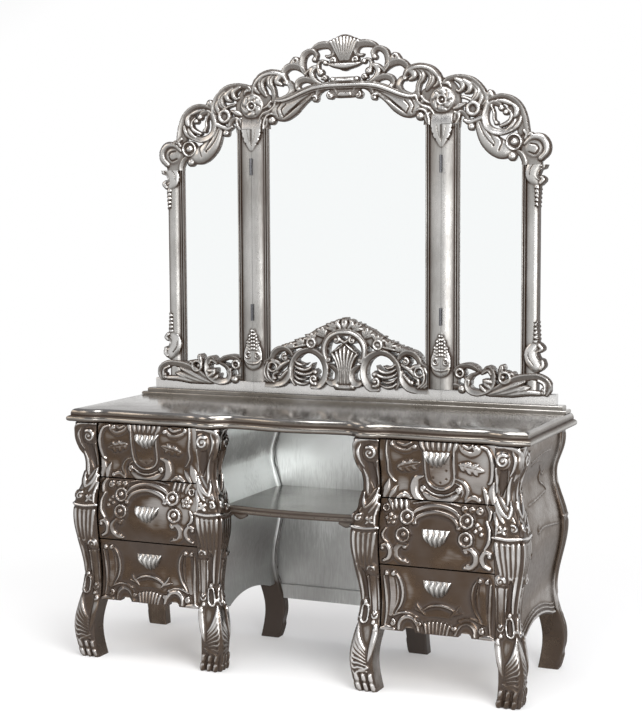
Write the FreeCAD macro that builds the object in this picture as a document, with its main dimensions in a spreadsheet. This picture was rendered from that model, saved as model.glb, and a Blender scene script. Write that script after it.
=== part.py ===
"""Kneehole dressing table with a folding triple mirror.

Millimetres, +Z up, the front looks along -Y, the origin is on the floor below the middle of the table.
"""
import FreeCAD, Part
import math
import os
import re

os.makedirs("parts", exist_ok=True)
doc = FreeCAD.newDocument("DressingTable")
Vector = FreeCAD.Vector

# Driving sizes: alias, value in millimetres or a formula of other sizes, what it is
SIZES = (
    ("table_height", 800, "floor to the upper face of the top"),
    ("top_width", 1530, "width of the top"),
    ("top_depth", 510, "depth of the top over its front ears"),
    ("top_thickness", 40, "thickness of the top"),
    ("bead_height", 18, "height of the half-round bead below the top"),
    ("bead_chamfer", 6, "chamfer of the bead's two edges"),
    ("thumb_setback", 11, "how far the upper moulding stands behind the bead"),
    ("thumb_chamfer", 9, "chamfer of the upper moulding"),
    ("drawer_hollow", 19, "how far the top's front falls back beside the drawers"),
    ("drawer_bow", 7, "bow of the top's front over the drawers"),
    ("knee_hollow", 33, "how far the top's front falls back beside the kneehole"),
    ("knee_bow", 18, "bow of the top's front over the kneehole"),
    ("top_overhang", 30, "how far the top reaches past the outer legs"),
    ("pedestal_opening", 356, "clear width between the legs of a pedestal"),
    ("leg_top_width", 77, "width of a leg under the top"),
    ("pedestal_pitch", "=top_width - 2 * (top_overhang + leg_top_width) - pedestal_opening",
     "distance between the middles of the pedestals"),
    ("front_leg_setback", 80, "front ears of the top to the back faces of the front legs"),
    ("front_leg_plane", "=top_depth / 2 - front_leg_setback",
     "middle of the table to the back faces of the front legs"),
    ("rear_leg_setback", 65, "back edge of the top to the front faces of the rear legs"),
    ("rear_leg_plane", "=top_depth / 2 - rear_leg_setback",
     "middle of the table to the front faces of the rear legs"),
    ("leg_volute_width", 73, "width of a leg at the volute"),
    ("leg_waist_width", 55, "width of a leg at its waist"),
    ("leg_bulge_width", 84, "width of a leg at the bulge"),
    ("leg_calf_width", 59, "width of a leg at the calf"),
    ("leg_knee_width", 86, "width of a leg at the knee above the foot"),
    ("leg_foot_width", 67, "width of a leg on the floor"),
    ("leg_top_depth", 64, "depth of a front leg under the top"),
    ("leg_volute_depth", 65, "depth of a front leg at the volute"),
    ("leg_waist_depth", 53, "depth of a front leg at its waist"),
    ("leg_bulge_depth", 73, "depth of a front leg at the bulge"),
    ("leg_calf_depth", 52, "depth of a front leg at the calf"),
    ("leg_knee_depth", 75, "depth of a front leg at the knee"),
    ("leg_foot_depth", 62, "depth of a front leg on the floor"),
    ("rear_leg_trim", 21, "how much shallower the rear legs are"),
    ("volute_height", 700, "height of the volute above the floor"),
    ("waist_height", 640, "height of the waist above the floor"),
    ("bulge_height", 485, "height of the bulge above the floor"),
    ("calf_height", 250, "height of the calf above the floor"),
    ("knee_height", 105, "height of the knee above the floor"),
    ("free_leg_height", 190, "height at which the leg leaves the carcase"),
    ("knee_hollow_in", 15, "how far the free leg is hollowed behind the knee"),
    ("foot_hollow_in", 5, "how far the foot stands out from the inner leg face"),
    ("panel_inset", 9, "how far a side panel stands behind the leg faces"),
    ("panel_thickness", 16, "thickness of a side panel"),
    ("panel_bottom", 185, "floor to the lower edge of the side panels"),
    ("panel_arch_rise", 24, "rise of the arch in a side panel's lower edge"),
    ("panel_arch_span", 290, "span of the arch in a side panel's lower edge"),
    ("back_thickness", 8, "thickness of a pedestal's back panel"),
    ("back_setback", 15, "rear leg plane to the front of a pedestal's back panel"),
    ("drawer_top_gap", 3, "gap between the top and the highest drawer"),
    ("drawer_gap", 4, "gap between drawers, one above the other"),
    ("drawer_side_gap", 2.5, "gap between a drawer front and the leg beside it"),
    ("upper_drawer_height", 171, "height of the highest drawer front"),
    ("middle_drawer_height", 193, "height of the middle drawer front"),
    ("lower_drawer_height", 195, "height of the lowest drawer front with its apron"),
    ("front_inset", 8, "how far a drawer front stands behind the leg faces"),
    ("front_lead", 30, "back faces of the front legs to the flat back of a drawer front"),
    ("front_back_plane", "=front_leg_plane + front_lead",
     "middle of the table to the flat back of a drawer front"),
    ("apron_notch", 21, "radius of the two arched cuts in the apron"),
    ("apron_notch_pitch", 172, "distance between the two arched cuts"),
    ("apron_notch_drop", 6, "how far the arched cuts are centred below the apron"),
    ("box_side_gap", 6, "gap between a drawer box and the leg beside it"),
    ("box_lift", 20, "lower edge of a drawer front to its box"),
    ("box_trim", 45, "how much lower a drawer box is than its front"),
    ("box_end_gap", 45, "back of a drawer box to the front faces of the rear legs"),
    ("box_length", "=front_back_plane + rear_leg_plane - box_end_gap", "length of a drawer box"),
    ("box_wall", 12, "thickness of a drawer box's sides and back"),
    ("box_floor", 6, "thickness of a drawer box's bottom"),
    ("box_floor_lift", 8, "lower edge of a drawer box to its bottom"),
    ("board_thickness", 14, "thickness of the dust boards that carry the drawers"),
    ("board_lip", 18, "how far a dust board reaches behind the legs"),
    ("slide_gap", 0.4, "running gap of the drawers and the folding wings"),
    ("pull_width", 88, "width of a shell pull"),
    ("pull_height", 54, "height of a shell pull"),
    ("pull_reach", 15, "how far a shell pull stands out"),
    ("upper_pull_height", 733, "floor to the top edge of the highest pulls"),
    ("middle_pull_height", 503, "floor to the top edge of the middle pulls"),
    ("lower_pull_height", 349, "floor to the top edge of the lowest pulls"),
    ("shelf_height", 515, "floor to the upper face of the kneehole shelf"),
    ("shelf_thickness", 22, "thickness of the kneehole shelf"),
    ("shelf_setback", 3, "back faces of the front legs to the front edge of the shelf at its ends"),
    ("shelf_front", "=front_leg_plane - shelf_setback",
     "middle of the table to the front edge of the shelf at its ends"),
    ("shelf_bow", 22, "how far the shelf bows forward"),
    ("shelf_shoulder", 34, "width of the straight shoulders at the shelf's ends"),
    ("knee_back_setback", 25, "front faces of the rear legs to the front of the kneehole back panel"),
    ("knee_back_front", "=rear_leg_plane + knee_back_setback",
     "middle of the table to the front of the kneehole back panel"),
    ("knee_back_thickness", 10, "thickness of the kneehole back panel"),
    ("knee_back_bottom", 135, "floor to the lower edge of the kneehole back panel"),
    ("knee_rail_height", 47, "height of the rail along its lower edge"),
    ("knee_rail_proud", 8, "how far that rail stands out"),
    ("plinth_height", 22, "height of the mirror plinth"),
    ("plinth_inset", 20, "end of the top to the end of the mirror plinth"),
    ("plinth_width", "=top_width - 2 * plinth_inset", "width of the mirror plinth"),
    ("plinth_depth", 58, "depth of the mirror plinth"),
    ("plinth_step", 10, "height of the plinth's lower step"),
    ("plinth_setback", 15, "how far the plinth's upper step stands back"),
    ("plinth_round", 5, "rounding of the plinth's steps"),
    ("mirror_setback", 3, "back edge of the top to the back of the mirror frame"),
    ("frame_thickness", 30, "thickness of the mirror frame"),
    ("seam_half", 331, "middle of the table to a hinge seam"),
    ("stile_width", 56, "width of a stile"),
    ("seam_gap", 0.8, "gap between the centre frame and a wing"),
    ("base_height", 34, "height of the plain board under the frames"),
    ("base_overhang", 59, "how far a wing's base board reaches past its stile"),
    ("base_inset", 40, "end of the mirror plinth to the end of a wing's base board"),
    ("wing_width", "=plinth_width / 2 - base_inset - base_overhang - seam_half",
     "hinge seam to the outer edge of a wing's stile"),
    ("stile_height", 834, "length of the stiles beside the hinge seams"),
    ("shoulder_drop", 130, "how much shorter the outer stiles are"),
    ("plate_setback", 4, "how far the carved plates stand behind the stile fronts"),
    ("plate_back_trim", 6, "how far the carved plates stand before the frame's back"),
    ("rebate_depth", 16, "front of the stiles to the mirror glass"),
    ("rebate_width", 10, "width of the rebate that holds the glass"),
    ("glass_gap", 0.4, "gap round the glass in its rebate"),
    ("glass_thickness", 4, "thickness of the mirror glass"),
    ("backing_thickness", 5, "thickness of the board behind the glass"),
    ("stile_lip", 9, "depth of the stile's sight edge behind its front"),
    ("stile_bead", 6, "width of each bead of a stile"),
    ("stile_quirk", 2, "width and depth of the quirks beside the beads"),
    ("hinge_reach", 6, "hinge axis in front of the stiles"),
    ("hinge_length", 55, "length of a hinge"),
    ("hinge_knuckle", 4, "radius of a hinge's knuckles"),
    ("hinge_pin", 1.5, "radius of a hinge's pin"),
    ("hinge_pin_gap", 0.2, "running gap round a hinge's pin"),
    ("hinge_leaf", 2, "thickness of a hinge's leaves"),
    ("hinge_leaf_depth", 24, "depth of a hinge's leaves"),
    ("lower_hinge_rise", 204, "foot of the stiles to the lower hinge"),
    ("upper_hinge_drop", 95, "head of the stiles to the upper hinge"),
)
sheet = doc.addObject("Spreadsheet::Sheet", "Sizes")
for row, (alias, value, meaning) in enumerate(SIZES, start=1):
    sheet.set(f"A{row}", meaning)
    sheet.setAlias(f"B{row}", alias)
for row, (alias, value, meaning) in enumerate(SIZES, start=1):
    sheet.set(f"B{row}", str(value))
doc.recompute()
ALIASES = {alias for alias, value, meaning in SIZES}


class Sizes:
    """The sheet's values by name, for the outlines that are drawn in code."""

    def __getattr__(self, alias):
        return float(sheet.get(alias))


s = Sizes()
nodes = []


def words(expression):
    """Point the names in an expression at the sheet."""

    def pointed(match):
        name = match.group()
        return "Sizes." + name if name in ALIASES else name

    return re.sub(r"[a-z_]+", pointed, expression)


def bind(obj, **expressions):
    """Bind properties of an object to expressions of the sheet's sizes."""
    for name, expression in expressions.items():
        obj.setExpression(name.replace("__", "."), words(expression))


def node(obj, label):
    """Name a finished piece; its file takes this name."""
    obj.Label = label
    nodes.append(obj)
    return obj


def board(name, x, y, z):
    """A board between pairs of planes, each given as an expression."""
    box = doc.addObject("Part::Box", name)
    bind(box, Length=f"({x[1]}) - ({x[0]})", Width=f"({y[1]}) - ({y[0]})", Height=f"({z[1]}) - ({z[0]})")
    bind(box, Placement__Base__x=x[0], Placement__Base__y=y[0], Placement__Base__z=z[0])
    return box


def cut(name, base, *tools):
    """A piece with one or more others cut away from it."""
    for tool in tools:
        piece = doc.addObject("Part::Cut", name)
        piece.Base = base
        piece.Tool = tool
        base = piece
    return base


def fuse(name, *pieces):
    """Several forms that are one piece."""
    piece = doc.addObject("Part::MultiFuse", name)
    piece.Shapes = list(pieces)
    piece.Refine = True
    return piece


def group(name, *pieces):
    """Several separate solids that are kept together."""
    piece = doc.addObject("Part::Compound", name)
    piece.Links = list(pieces)
    return piece


def lines(*points):
    """Straight edges through points of a sketch."""
    return [Part.LineSegment(Vector(*a, 0), Vector(*b, 0)) for a, b in zip(points, points[1:])]


def curve(points):
    """A smooth edge through points of a sketch."""
    spline = Part.BSplineCurve()
    spline.interpolate([Vector(x, y, 0) for x, y in points])
    return spline


def waves(points):
    """Tangent arcs through the crests and hollows of a serpentine edge."""
    arcs = []
    for (x0, y0), (x1, y1) in zip(points, points[1:]):
        run, rise = x1 - x0, y1 - y0
        radius = (run * run + rise * rise) / (4 * abs(rise))
        turn = math.asin(run / 2 / radius) / 2
        along = radius * math.sin(turn)
        across = math.copysign(radius * (1 - math.cos(turn)), rise)
        middle = Vector((x0 + x1) / 2, (y0 + y1) / 2, 0)
        arcs.append(Part.Arc(Vector(x0, y0, 0), Vector(x0 + along, y0 + across, 0), middle))
        arcs.append(Part.Arc(middle, Vector(x1 - along, y1 - across, 0), Vector(x1, y1, 0)))
    return arcs


def pad(name, plane, outline, length, offset="0"):
    """A body whose sketch on one of its origin planes is padded; offset moves the sketch along its normal."""
    body = doc.addObject("PartDesign::Body", name)
    sketch = body.newObject("Sketcher::SketchObject", name + "_sketch")
    role = [f for f in body.Origin.OriginFeatures if f.Role == plane][0]
    sketch.AttachmentSupport = [(role, "")]
    sketch.MapMode = "FlatFace"
    sketch.addGeometry(outline, False)
    bind(sketch, AttachmentOffset__Base__z=offset)
    feature = body.newObject("PartDesign::Pad", name + "_pad")
    feature.Profile = sketch
    bind(feature, Length=length)
    sketch.Visibility = False
    return body


def worked(body, test, kind, value):
    """Round or chamfer the edges of a body that pass a test."""
    doc.recompute()
    base = body.Tip
    names = [f"Edge{i}" for i, edge in enumerate(base.Shape.Edges, start=1) if test(edge)]
    feature = body.newObject("PartDesign::" + kind, body.Name + "_worked")
    feature.Base = (base, names)
    bind(feature, **{"Radius" if kind == "Fillet" else "Size": value})
    body.Tip = feature
    return body


def at_height(spline, height):
    """Where an edge that climbs steadily stands at a height."""
    low, high = spline.FirstParameter, spline.LastParameter
    rising = spline.value(high).y > spline.value(low).y
    for step in range(50):
        middle = (low + high) / 2
        if (spline.value(middle).y < height) == rising:
            low = middle
        else:
            high = middle
    return spline.value(low).x


# Heights and planes that several pieces share, as expressions and as numbers
LEG_TOP = "(table_height - top_thickness)"
leg_top = s.table_height - s.top_thickness
half_opening = s.pedestal_opening / 2
LEG_WIDTHS = [
    (s.leg_foot_width, 0),
    (s.leg_knee_width, s.knee_height),
    (s.leg_calf_width, s.calf_height),
    (s.leg_bulge_width, s.bulge_height),
    (s.leg_waist_width, s.waist_height),
    (s.leg_volute_width, s.volute_height),
    (s.leg_top_width, leg_top),
]
LEG_DEPTHS = [
    (s.leg_foot_depth, 0),
    (s.leg_knee_depth, s.knee_height),
    (s.leg_calf_depth, s.calf_height),
    (s.leg_bulge_depth, s.bulge_height),
    (s.leg_waist_depth, s.waist_height),
    (s.leg_volute_depth, s.volute_height),
    (s.leg_top_depth, leg_top),
]
FREE_LEG = [
    (0, s.free_leg_height),
    (s.knee_hollow_in, s.knee_height),
    (s.foot_hollow_in, 0),
]
width_curve = curve(LEG_WIDTHS)
depth_curve = curve(LEG_DEPTHS)


# The top: a half-round bead below a thumb moulding, with a serpentine front
def top_outline(inset):
    """The plan of the top, drawn in by an inset."""
    end = s.top_width / 2 - inset
    back = s.top_depth / 2
    ear = back - inset
    middle = s.pedestal_pitch / 2
    leg = half_opening + s.leg_top_width / 2
    right = [
        (0, s.knee_bow - s.knee_hollow),
        (middle - leg - s.leg_top_width, -s.knee_hollow),
        (middle - leg, 0),
        (middle - leg + s.leg_top_width, -s.drawer_hollow),
        (middle, s.drawer_bow - s.drawer_hollow),
        (middle + leg - s.leg_top_width, -s.drawer_hollow),
        (middle + leg, 0),
        (end, -s.drawer_bow),
    ]
    front = [(x, -ear - reach) for x, reach in right]
    front = [(-x, y) for x, y in reversed(front[1:])] + front
    left_end, right_end = front[0], front[-1]
    return waves(front) + lines(right_end, (end, back), (-end, back), left_end)


def moulded(edge):
    """An edge of a padded plan that isn't upright and isn't along the back."""
    box = edge.BoundBox
    return box.ZLength < 0.01 and box.YMin < s.top_depth / 2 - 0.5


bead = pad("top_bead", "XY_Plane", top_outline(0), "bead_height", LEG_TOP)
worked(bead, moulded, "Chamfer", "bead_chamfer")
thumb = pad("top_thumb", "XY_Plane", top_outline(s.thumb_setback), "top_thickness - bead_height",
            f"{LEG_TOP} + bead_height")
worked(thumb, lambda e: moulded(e) and e.BoundBox.ZMin > s.table_height - 0.5, "Chamfer", "thumb_chamfer")
node(fuse("top", bead, thumb), "top_board")


# Cabriole legs: sawn to one outline from the front and to another from the side
def leg_outline(inner, way, profile):
    """A leg's outline: flat inner face above, hollowed free leg below, swelling outer edge."""
    outer = [(inner + way * reach, height) for reach, height in profile]
    free = [(inner + way * reach, height) for reach, height in FREE_LEG]
    edges = [curve(outer)] + lines(outer[-1], (inner, leg_top), free[0])
    return edges + [curve(free)] + lines(free[-1], outer[0])


def leg(label, inner_x, way_x, front):
    """One leg, from the x of its inner face, the way it faces and whether it is a front leg."""
    outline = leg_outline(inner_x, way_x, LEG_WIDTHS)
    across = pad(label + "_front_saw", "XZ_Plane", outline, "2 * top_depth", "-top_depth")
    if front:
        profile = leg_outline(-s.front_leg_plane, -1, LEG_DEPTHS)
    else:
        profile = leg_outline(s.rear_leg_plane, 1, [(d - s.rear_leg_trim, z) for d, z in LEG_DEPTHS])
    along = pad(label + "_side_saw", "YZ_Plane", profile, "2 * top_width", "-top_width")
    blank = doc.addObject("Part::MultiCommon", label + "_blank")
    blank.Shapes = [across, along]
    return blank


legs = {}
for side, sign in (("left", -1), ("right", 1)):
    middle = sign * s.pedestal_pitch / 2
    for place, way in (("outer", sign), ("inner", -sign)):
        for end in ("front", "rear"):
            label = f"{side}_{place}_{end}_leg"
            inner_x = middle + way * half_opening
            legs[label] = node(leg(label, inner_x, way, end == "front"), label)


# Side panels: bent boards between the legs, arched along their lower edge
def panel_outline(middle, way):
    """The bent section of a side panel, following the legs."""
    heights = [s.panel_bottom + i * (leg_top - s.panel_bottom) / 8 for i in range(9)]
    outer = [(half_opening + at_height(width_curve, h) - s.panel_inset, h) for h in heights]
    inner = [(x - s.panel_thickness, h) for x, h in outer]
    outer = [(middle + way * x, h) for x, h in outer]
    inner = [(middle + way * x, h) for x, h in reversed(inner)]
    return [curve(outer)] + lines(outer[-1], inner[0]) + [curve(inner)] + lines(inner[-1], outer[0])


ARCH_RADIUS = "((panel_arch_span / 2)^2 + panel_arch_rise^2) / (2 * panel_arch_rise)"
panels = {}
for side, sign in (("left", -1), ("right", 1)):
    middle = sign * s.pedestal_pitch / 2
    for place, way in (("outer", sign), ("inner", -sign)):
        label = f"{side}_{place}_side_panel"
        blank = pad(label + "_blank", "XZ_Plane", panel_outline(middle, way),
                    "front_leg_plane + rear_leg_plane", "-rear_leg_plane")
        arch = doc.addObject("Part::Cylinder", label + "_arch")
        bind(arch, Radius=ARCH_RADIUS, Height="2 * top_width", Placement__Base__x="-top_width",
             Placement__Base__y="(rear_leg_plane - front_leg_plane) / 2",
             Placement__Base__z=f"panel_bottom + panel_arch_rise - {ARCH_RADIUS}")
        arch.Placement.Rotation = FreeCAD.Rotation(Vector(0, 1, 0), 90)
        panels[label] = node(cut(label, blank, arch), label)

# Pedestal backs and the dust boards that carry the drawers
DRAWERS = {
    "upper": (f"({LEG_TOP} - drawer_top_gap - upper_drawer_height)", "upper_drawer_height"),
    "middle": (f"({LEG_TOP} - drawer_top_gap - upper_drawer_height - drawer_gap - middle_drawer_height)",
               "middle_drawer_height"),
    "lower": (f"({LEG_TOP} - drawer_top_gap - upper_drawer_height - middle_drawer_height"
              " - lower_drawer_height - 2 * drawer_gap)", "lower_drawer_height"),
}
upper_floor = leg_top - s.drawer_top_gap - s.upper_drawer_height
middle_floor = upper_floor - s.drawer_gap - s.middle_drawer_height
lower_floor = middle_floor - s.drawer_gap - s.lower_drawer_height
drawer_span = {
    "upper": (upper_floor, upper_floor + s.upper_drawer_height),
    "middle": (middle_floor, middle_floor + s.middle_drawer_height),
    "lower": (lower_floor, lower_floor + s.lower_drawer_height),
}
PULL_TOPS = {"upper": "upper_pull_height", "middle": "middle_pull_height", "lower": "lower_pull_height"}


def dust_board_outline(middle):
    """A dust board's plan: wide between the side panels, narrow where it passes the front legs."""
    wide = half_opening + s.board_lip
    front = -s.front_back_plane + s.slide_gap
    narrow = half_opening
    back = s.rear_leg_plane
    shoulder = -s.front_leg_plane
    right = [(narrow, front), (narrow, shoulder), (wide, shoulder), (wide, back)]
    left = [(-x, y) for x, y in reversed(right)]
    points = [(middle + x, y) for x, y in right + left]
    return lines(*points, points[0])


for side, sign in (("left", -1), ("right", 1)):
    middle = f"({sign} * pedestal_pitch / 2)"
    middle_x = sign * s.pedestal_pitch / 2
    back = board(f"{side}_back", (f"{middle} - pedestal_opening / 2", f"{middle} + pedestal_opening / 2"),
                 ("rear_leg_plane + back_setback", "rear_leg_plane + back_setback + back_thickness"),
                 ("panel_bottom", LEG_TOP))
    node(back, f"{side}_back_panel")
    boards = []
    for level, (floor, rise) in DRAWERS.items():
        low = f"{floor} + box_lift - slide_gap - board_thickness"
        outline = dust_board_outline(middle_x)
        boards.append(pad(f"{side}_{level}_dust_board", "XY_Plane", outline, "board_thickness", low))
    node(group(f"{side}_boards", *boards), f"{side}_dust_boards")


# Drawers: a bombe front, a box of four boards and a cast shell pull
def front_outline(level):
    """The section of a drawer front: bowed like the legs in front, flat behind."""
    low, high = drawer_span[level]
    heights = [low + i * (high - low) / 4 for i in range(5)]
    bowed = [(-s.front_leg_plane - at_height(depth_curve, h) + s.front_inset, h) for h in heights]
    back = -s.front_back_plane
    return [curve(bowed)] + lines(bowed[-1], (back, high), (back, low), bowed[0])


def shell_pull(name, middle, level, front):
    """Five lobes that spread down and out from the middle of the pull's upper edge."""
    face = -s.front_leg_plane + s.front_inset
    edge_top = getattr(s, PULL_TOPS[level])
    face = face - at_height(depth_curve, edge_top - s.pull_height / 2)
    lobes = []
    for i, angle in enumerate((-68, -36, 0, 36, 68)):
        lean = math.radians(angle)
        length = 1 / math.hypot(math.cos(lean) / s.pull_height, 2 * math.sin(lean) / s.pull_width)
        lobe = doc.addObject("Part::Ellipsoid", f"{name}_lobe_{i}")
        bind(lobe, Radius1="pull_width / 8", Radius2=f"pull_height / 2 * {length / s.pull_height:.3f}",
             Radius3="pull_reach")
        turn = FreeCAD.Rotation(Vector(0, 1, 0), 90 - angle)
        reach = length / 2
        lobe.Placement = FreeCAD.Placement(
            Vector(middle + reach * math.sin(lean), face, edge_top - reach * math.cos(lean)), turn)
        lobes.append(lobe)
    return cut(name + "_trimmed", fuse(name, *lobes), front)


for side, sign in (("left", -1), ("right", 1)):
    middle = f"({sign} * pedestal_pitch / 2)"
    middle_x = sign * s.pedestal_pitch / 2
    for level, (floor, rise) in DRAWERS.items():
        name = f"{side}_{level}_drawer"
        width = "pedestal_opening - 2 * drawer_side_gap"
        start = f"{middle} - pedestal_opening / 2 + drawer_side_gap"
        front = pad(name + "_blank", "YZ_Plane", front_outline(level), width, start)
        if level == "lower":
            notches = []
            for place, way in (("left", -1), ("right", 1)):
                notch = doc.addObject("Part::Cylinder", f"{name}_{place}_notch")
                bind(notch, Radius="apron_notch", Height="top_depth",
                     Placement__Base__x=f"{middle} + {way} * apron_notch_pitch / 2",
                     Placement__Base__y="0", Placement__Base__z=f"{floor} - apron_notch_drop")
                notch.Placement.Rotation = FreeCAD.Rotation(Vector(1, 0, 0), 90)
                notches.append(notch)
            front = cut(name + "_apron", front, *notches)
        node(front, name + "_front")
        left = f"{middle} - pedestal_opening / 2 + box_side_gap"
        right = f"{middle} + pedestal_opening / 2 - box_side_gap"
        low = f"{floor} + box_lift"
        high = f"{floor} + box_lift + {rise} - box_trim"
        start = "-front_back_plane"
        stop = "box_length - front_back_plane"
        inside = (f"{left} + box_wall", f"{right} - box_wall")
        base = (f"{low} + box_floor_lift", f"{low} + box_floor_lift + box_floor")
        boards = [
            board(name + "_left_side", (left, f"{left} + box_wall"), (start, stop), (low, high)),
            board(name + "_right_side", (f"{right} - box_wall", right), (start, stop), (low, high)),
            board(name + "_end", inside, (f"{stop} - box_wall", stop), (low, high)),
            board(name + "_floor", inside, (start, f"{stop} - box_wall"), base),
        ]
        node(group(name + "_boards", *boards), name + "_box")
        node(shell_pull(name + "_shell", middle_x, level, front), name + "_pull")


# Kneehole shelf and back
def shelf_outline():
    """The plan of the shelf: straight shoulders, then a bowed front."""
    half = s.pedestal_pitch / 2 - half_opening - s.leg_bulge_width + s.panel_inset + s.panel_thickness / 2
    shoulder = half - s.panel_thickness / 2 - s.shelf_shoulder
    front = -s.shelf_front
    bowed = [(-shoulder, front), (-shoulder / 2, front - s.shelf_bow * 0.7), (0, front - s.shelf_bow),
             (shoulder / 2, front - s.shelf_bow * 0.7), (shoulder, front)]
    back = s.knee_back_front
    straight = [(shoulder, front), (half, front), (half, back), (-half, back), (-half, front), (-shoulder, front)]
    return [curve(bowed)] + lines(*straight)


shelf = pad("shelf_blank", "XY_Plane", shelf_outline(), "shelf_thickness", "shelf_height - shelf_thickness")
shelf = cut("shelf_fitted", shelf, panels["left_inner_side_panel"], panels["right_inner_side_panel"],
            legs["left_inner_rear_leg"], legs["right_inner_rear_leg"])
node(shelf, "kneehole_shelf")

knee_half = "(pedestal_pitch / 2 - pedestal_opening / 2 - leg_waist_width / 2)"
knee_width = (f"-{knee_half}", knee_half)
knee_rear = "knee_back_front + knee_back_thickness"
knee_panel = board("knee_panel", knee_width, ("knee_back_front", knee_rear), ("knee_back_bottom", LEG_TOP))
knee_rail = board("knee_rail", knee_width, ("knee_back_front - knee_rail_proud", knee_rear),
                  ("knee_back_bottom", "knee_back_bottom + knee_rail_height"))
knee_back = cut("knee_back_fitted", fuse("knee_back", knee_panel, knee_rail),
                legs["left_inner_rear_leg"], legs["right_inner_rear_leg"])
node(knee_back, "kneehole_back_panel")

# Mirror: planes along y, measured from the back edge of the top
frame_back = s.top_depth / 2 - s.mirror_setback
frame_front = frame_back - s.frame_thickness
plate_front = frame_front + s.plate_setback
plate_back = frame_back - s.plate_back_trim
glass_front = frame_front + s.rebate_depth
base_z = s.table_height + s.plinth_height
stile_foot = base_z + s.base_height
spring = stile_foot + s.stile_height
FRAME_FRONT = "(top_depth / 2 - mirror_setback - frame_thickness)"
BASE_Z = "(table_height + plinth_height)"
STILE_FOOT = "(table_height + plinth_height + base_height)"
half_gap = s.seam_gap / 2


# The plinth: two rounded steps along the back of the top
def plinth_outline(inset):
    """The plan of one step of the plinth."""
    half = s.plinth_width / 2 - inset
    back = s.top_depth / 2
    front = back - s.plinth_depth + inset
    return lines((-half, front), (half, front), (half, back), (-half, back), (-half, front))


def plinth_edge(top):
    """A test for the moulded upper edges of a step."""
    return lambda e: moulded(e) and e.BoundBox.ZMin > top - 0.1


lower_step = pad("plinth_lower", "XY_Plane", plinth_outline(0), "plinth_step", "table_height")
worked(lower_step, plinth_edge(s.table_height + s.plinth_step), "Fillet", "plinth_round")
upper_step = pad("plinth_upper", "XY_Plane", plinth_outline(s.plinth_setback), "plinth_height - plinth_step",
                 "table_height + plinth_step")
worked(upper_step, plinth_edge(base_z), "Fillet", "plinth_round")
node(fuse("plinth", lower_step, upper_step), "mirror_plinth")


# Stiles: a broad half round, two beads, and a rebate for the glass
def stile_outline(sight, way, width):
    """The section of a stile, from the x of its sight edge and the way its far edge lies."""

    def at(reach, depth):
        return (sight + way * reach, frame_front + depth)

    def arc(start, middle, stop):
        return Part.Arc(*(Vector(*at(*p), 0) for p in (start, middle, stop)))

    lip, bead, quirk = s.stile_lip, s.stile_bead, s.stile_quirk
    first = (0, lip), (bead / 2, lip - bead / 2), (bead, lip)
    second_start = bead + quirk
    second = (second_start, lip), (second_start + bead / 2, lip - bead / 2), (second_start + bead, lip)
    round_start = second_start + bead + quirk
    broad = (round_start, lip), ((round_start + width) / 2, lip * 0.24), (width, 0)
    inner = s.rebate_width + s.glass_gap
    edges = lines(at(0, s.rebate_depth), at(*first[0])) + [arc(*first)]
    edges += lines(at(*first[2]), at(bead, lip + quirk), at(second_start, lip + quirk), at(*second[0]))
    edges += [arc(*second)]
    edges += lines(at(*second[2]), at(second_start + bead, lip + quirk), at(round_start, lip + quirk),
                   at(*broad[0]))
    edges += [arc(*broad)]
    edges += lines(at(*broad[2]), at(width, s.frame_thickness), at(inner, s.frame_thickness),
                   at(inner, s.rebate_depth), at(0, s.rebate_depth))
    return edges


HINGES = (
    ("lower", f"({STILE_FOOT} + lower_hinge_rise)"),
    ("upper", f"({STILE_FOOT} + stile_height - upper_hinge_drop - hinge_length)"),
)
AXIS_Y = f"({FRAME_FRONT} - hinge_reach)"
LEAF_START = f"({AXIS_Y} + hinge_knuckle + slide_gap)"


def leaf_box(name, seam, way, low):
    """A hinge leaf: a thin plate let into the face of a stile; way points into the stile."""
    near = f"{seam} + ({way}) * seam_gap / 2"
    far = f"{seam} + ({way}) * (seam_gap / 2 + hinge_leaf)"
    span = (near, far) if way > 0 else (far, near)
    return board(name, span, (LEAF_START, f"{LEAF_START} + hinge_leaf_depth"), (low, f"{low} + hinge_length"))


def stile(label, sight, way, seam=None):
    """A stile; one beside a hinge seam has mortises for the leaves."""
    short = seam is None
    length = "stile_height - shoulder_drop" if short else "stile_height"
    width = s.stile_width - (0 if short else half_gap)
    body = pad(label + "_moulding", "XY_Plane", stile_outline(sight, way, width), length, STILE_FOOT)
    if short:
        return node(body, label)
    tools = [leaf_box(f"{label}_{level}_mortise", seam, -way, low) for level, low in HINGES]
    return node(cut(label + "_mortised", body, *tools), label)


sight_centre = s.seam_half - s.stile_width
sight_inner = s.seam_half + s.stile_width
sight_outer = s.seam_half + s.wing_width - s.stile_width
for side, sign in (("left", -1), ("right", 1)):
    seam = "(-seam_half)" if sign < 0 else "seam_half"
    stile(f"centre_{side}_stile", sign * sight_centre, sign, seam)
    stile(f"{side}_wing_inner_stile", sign * sight_inner, -sign, seam)
    stile(f"{side}_wing_outer_stile", sign * sight_outer, sign)


# Hinges: the fixed half carries the pin, the moving half turns on it
def cylinder(name, seam, radius, low, high):
    """A round piece on a hinge's axis."""
    piece = doc.addObject("Part::Cylinder", name)
    bind(piece, Radius=radius, Height=f"({high}) - ({low})")
    bind(piece, Placement__Base__x=seam, Placement__Base__y=AXIS_Y, Placement__Base__z=low)
    return piece


def tab(name, seam, way, low, high):
    """The strip between a leaf and one of its knuckles."""
    near = f"{seam} + ({way}) * seam_gap / 2"
    far = f"{seam} + ({way}) * (seam_gap / 2 + hinge_leaf)"
    span = (near, far) if way > 0 else (far, near)
    return board(name, span, (AXIS_Y, LEAF_START), (low, high))


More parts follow.
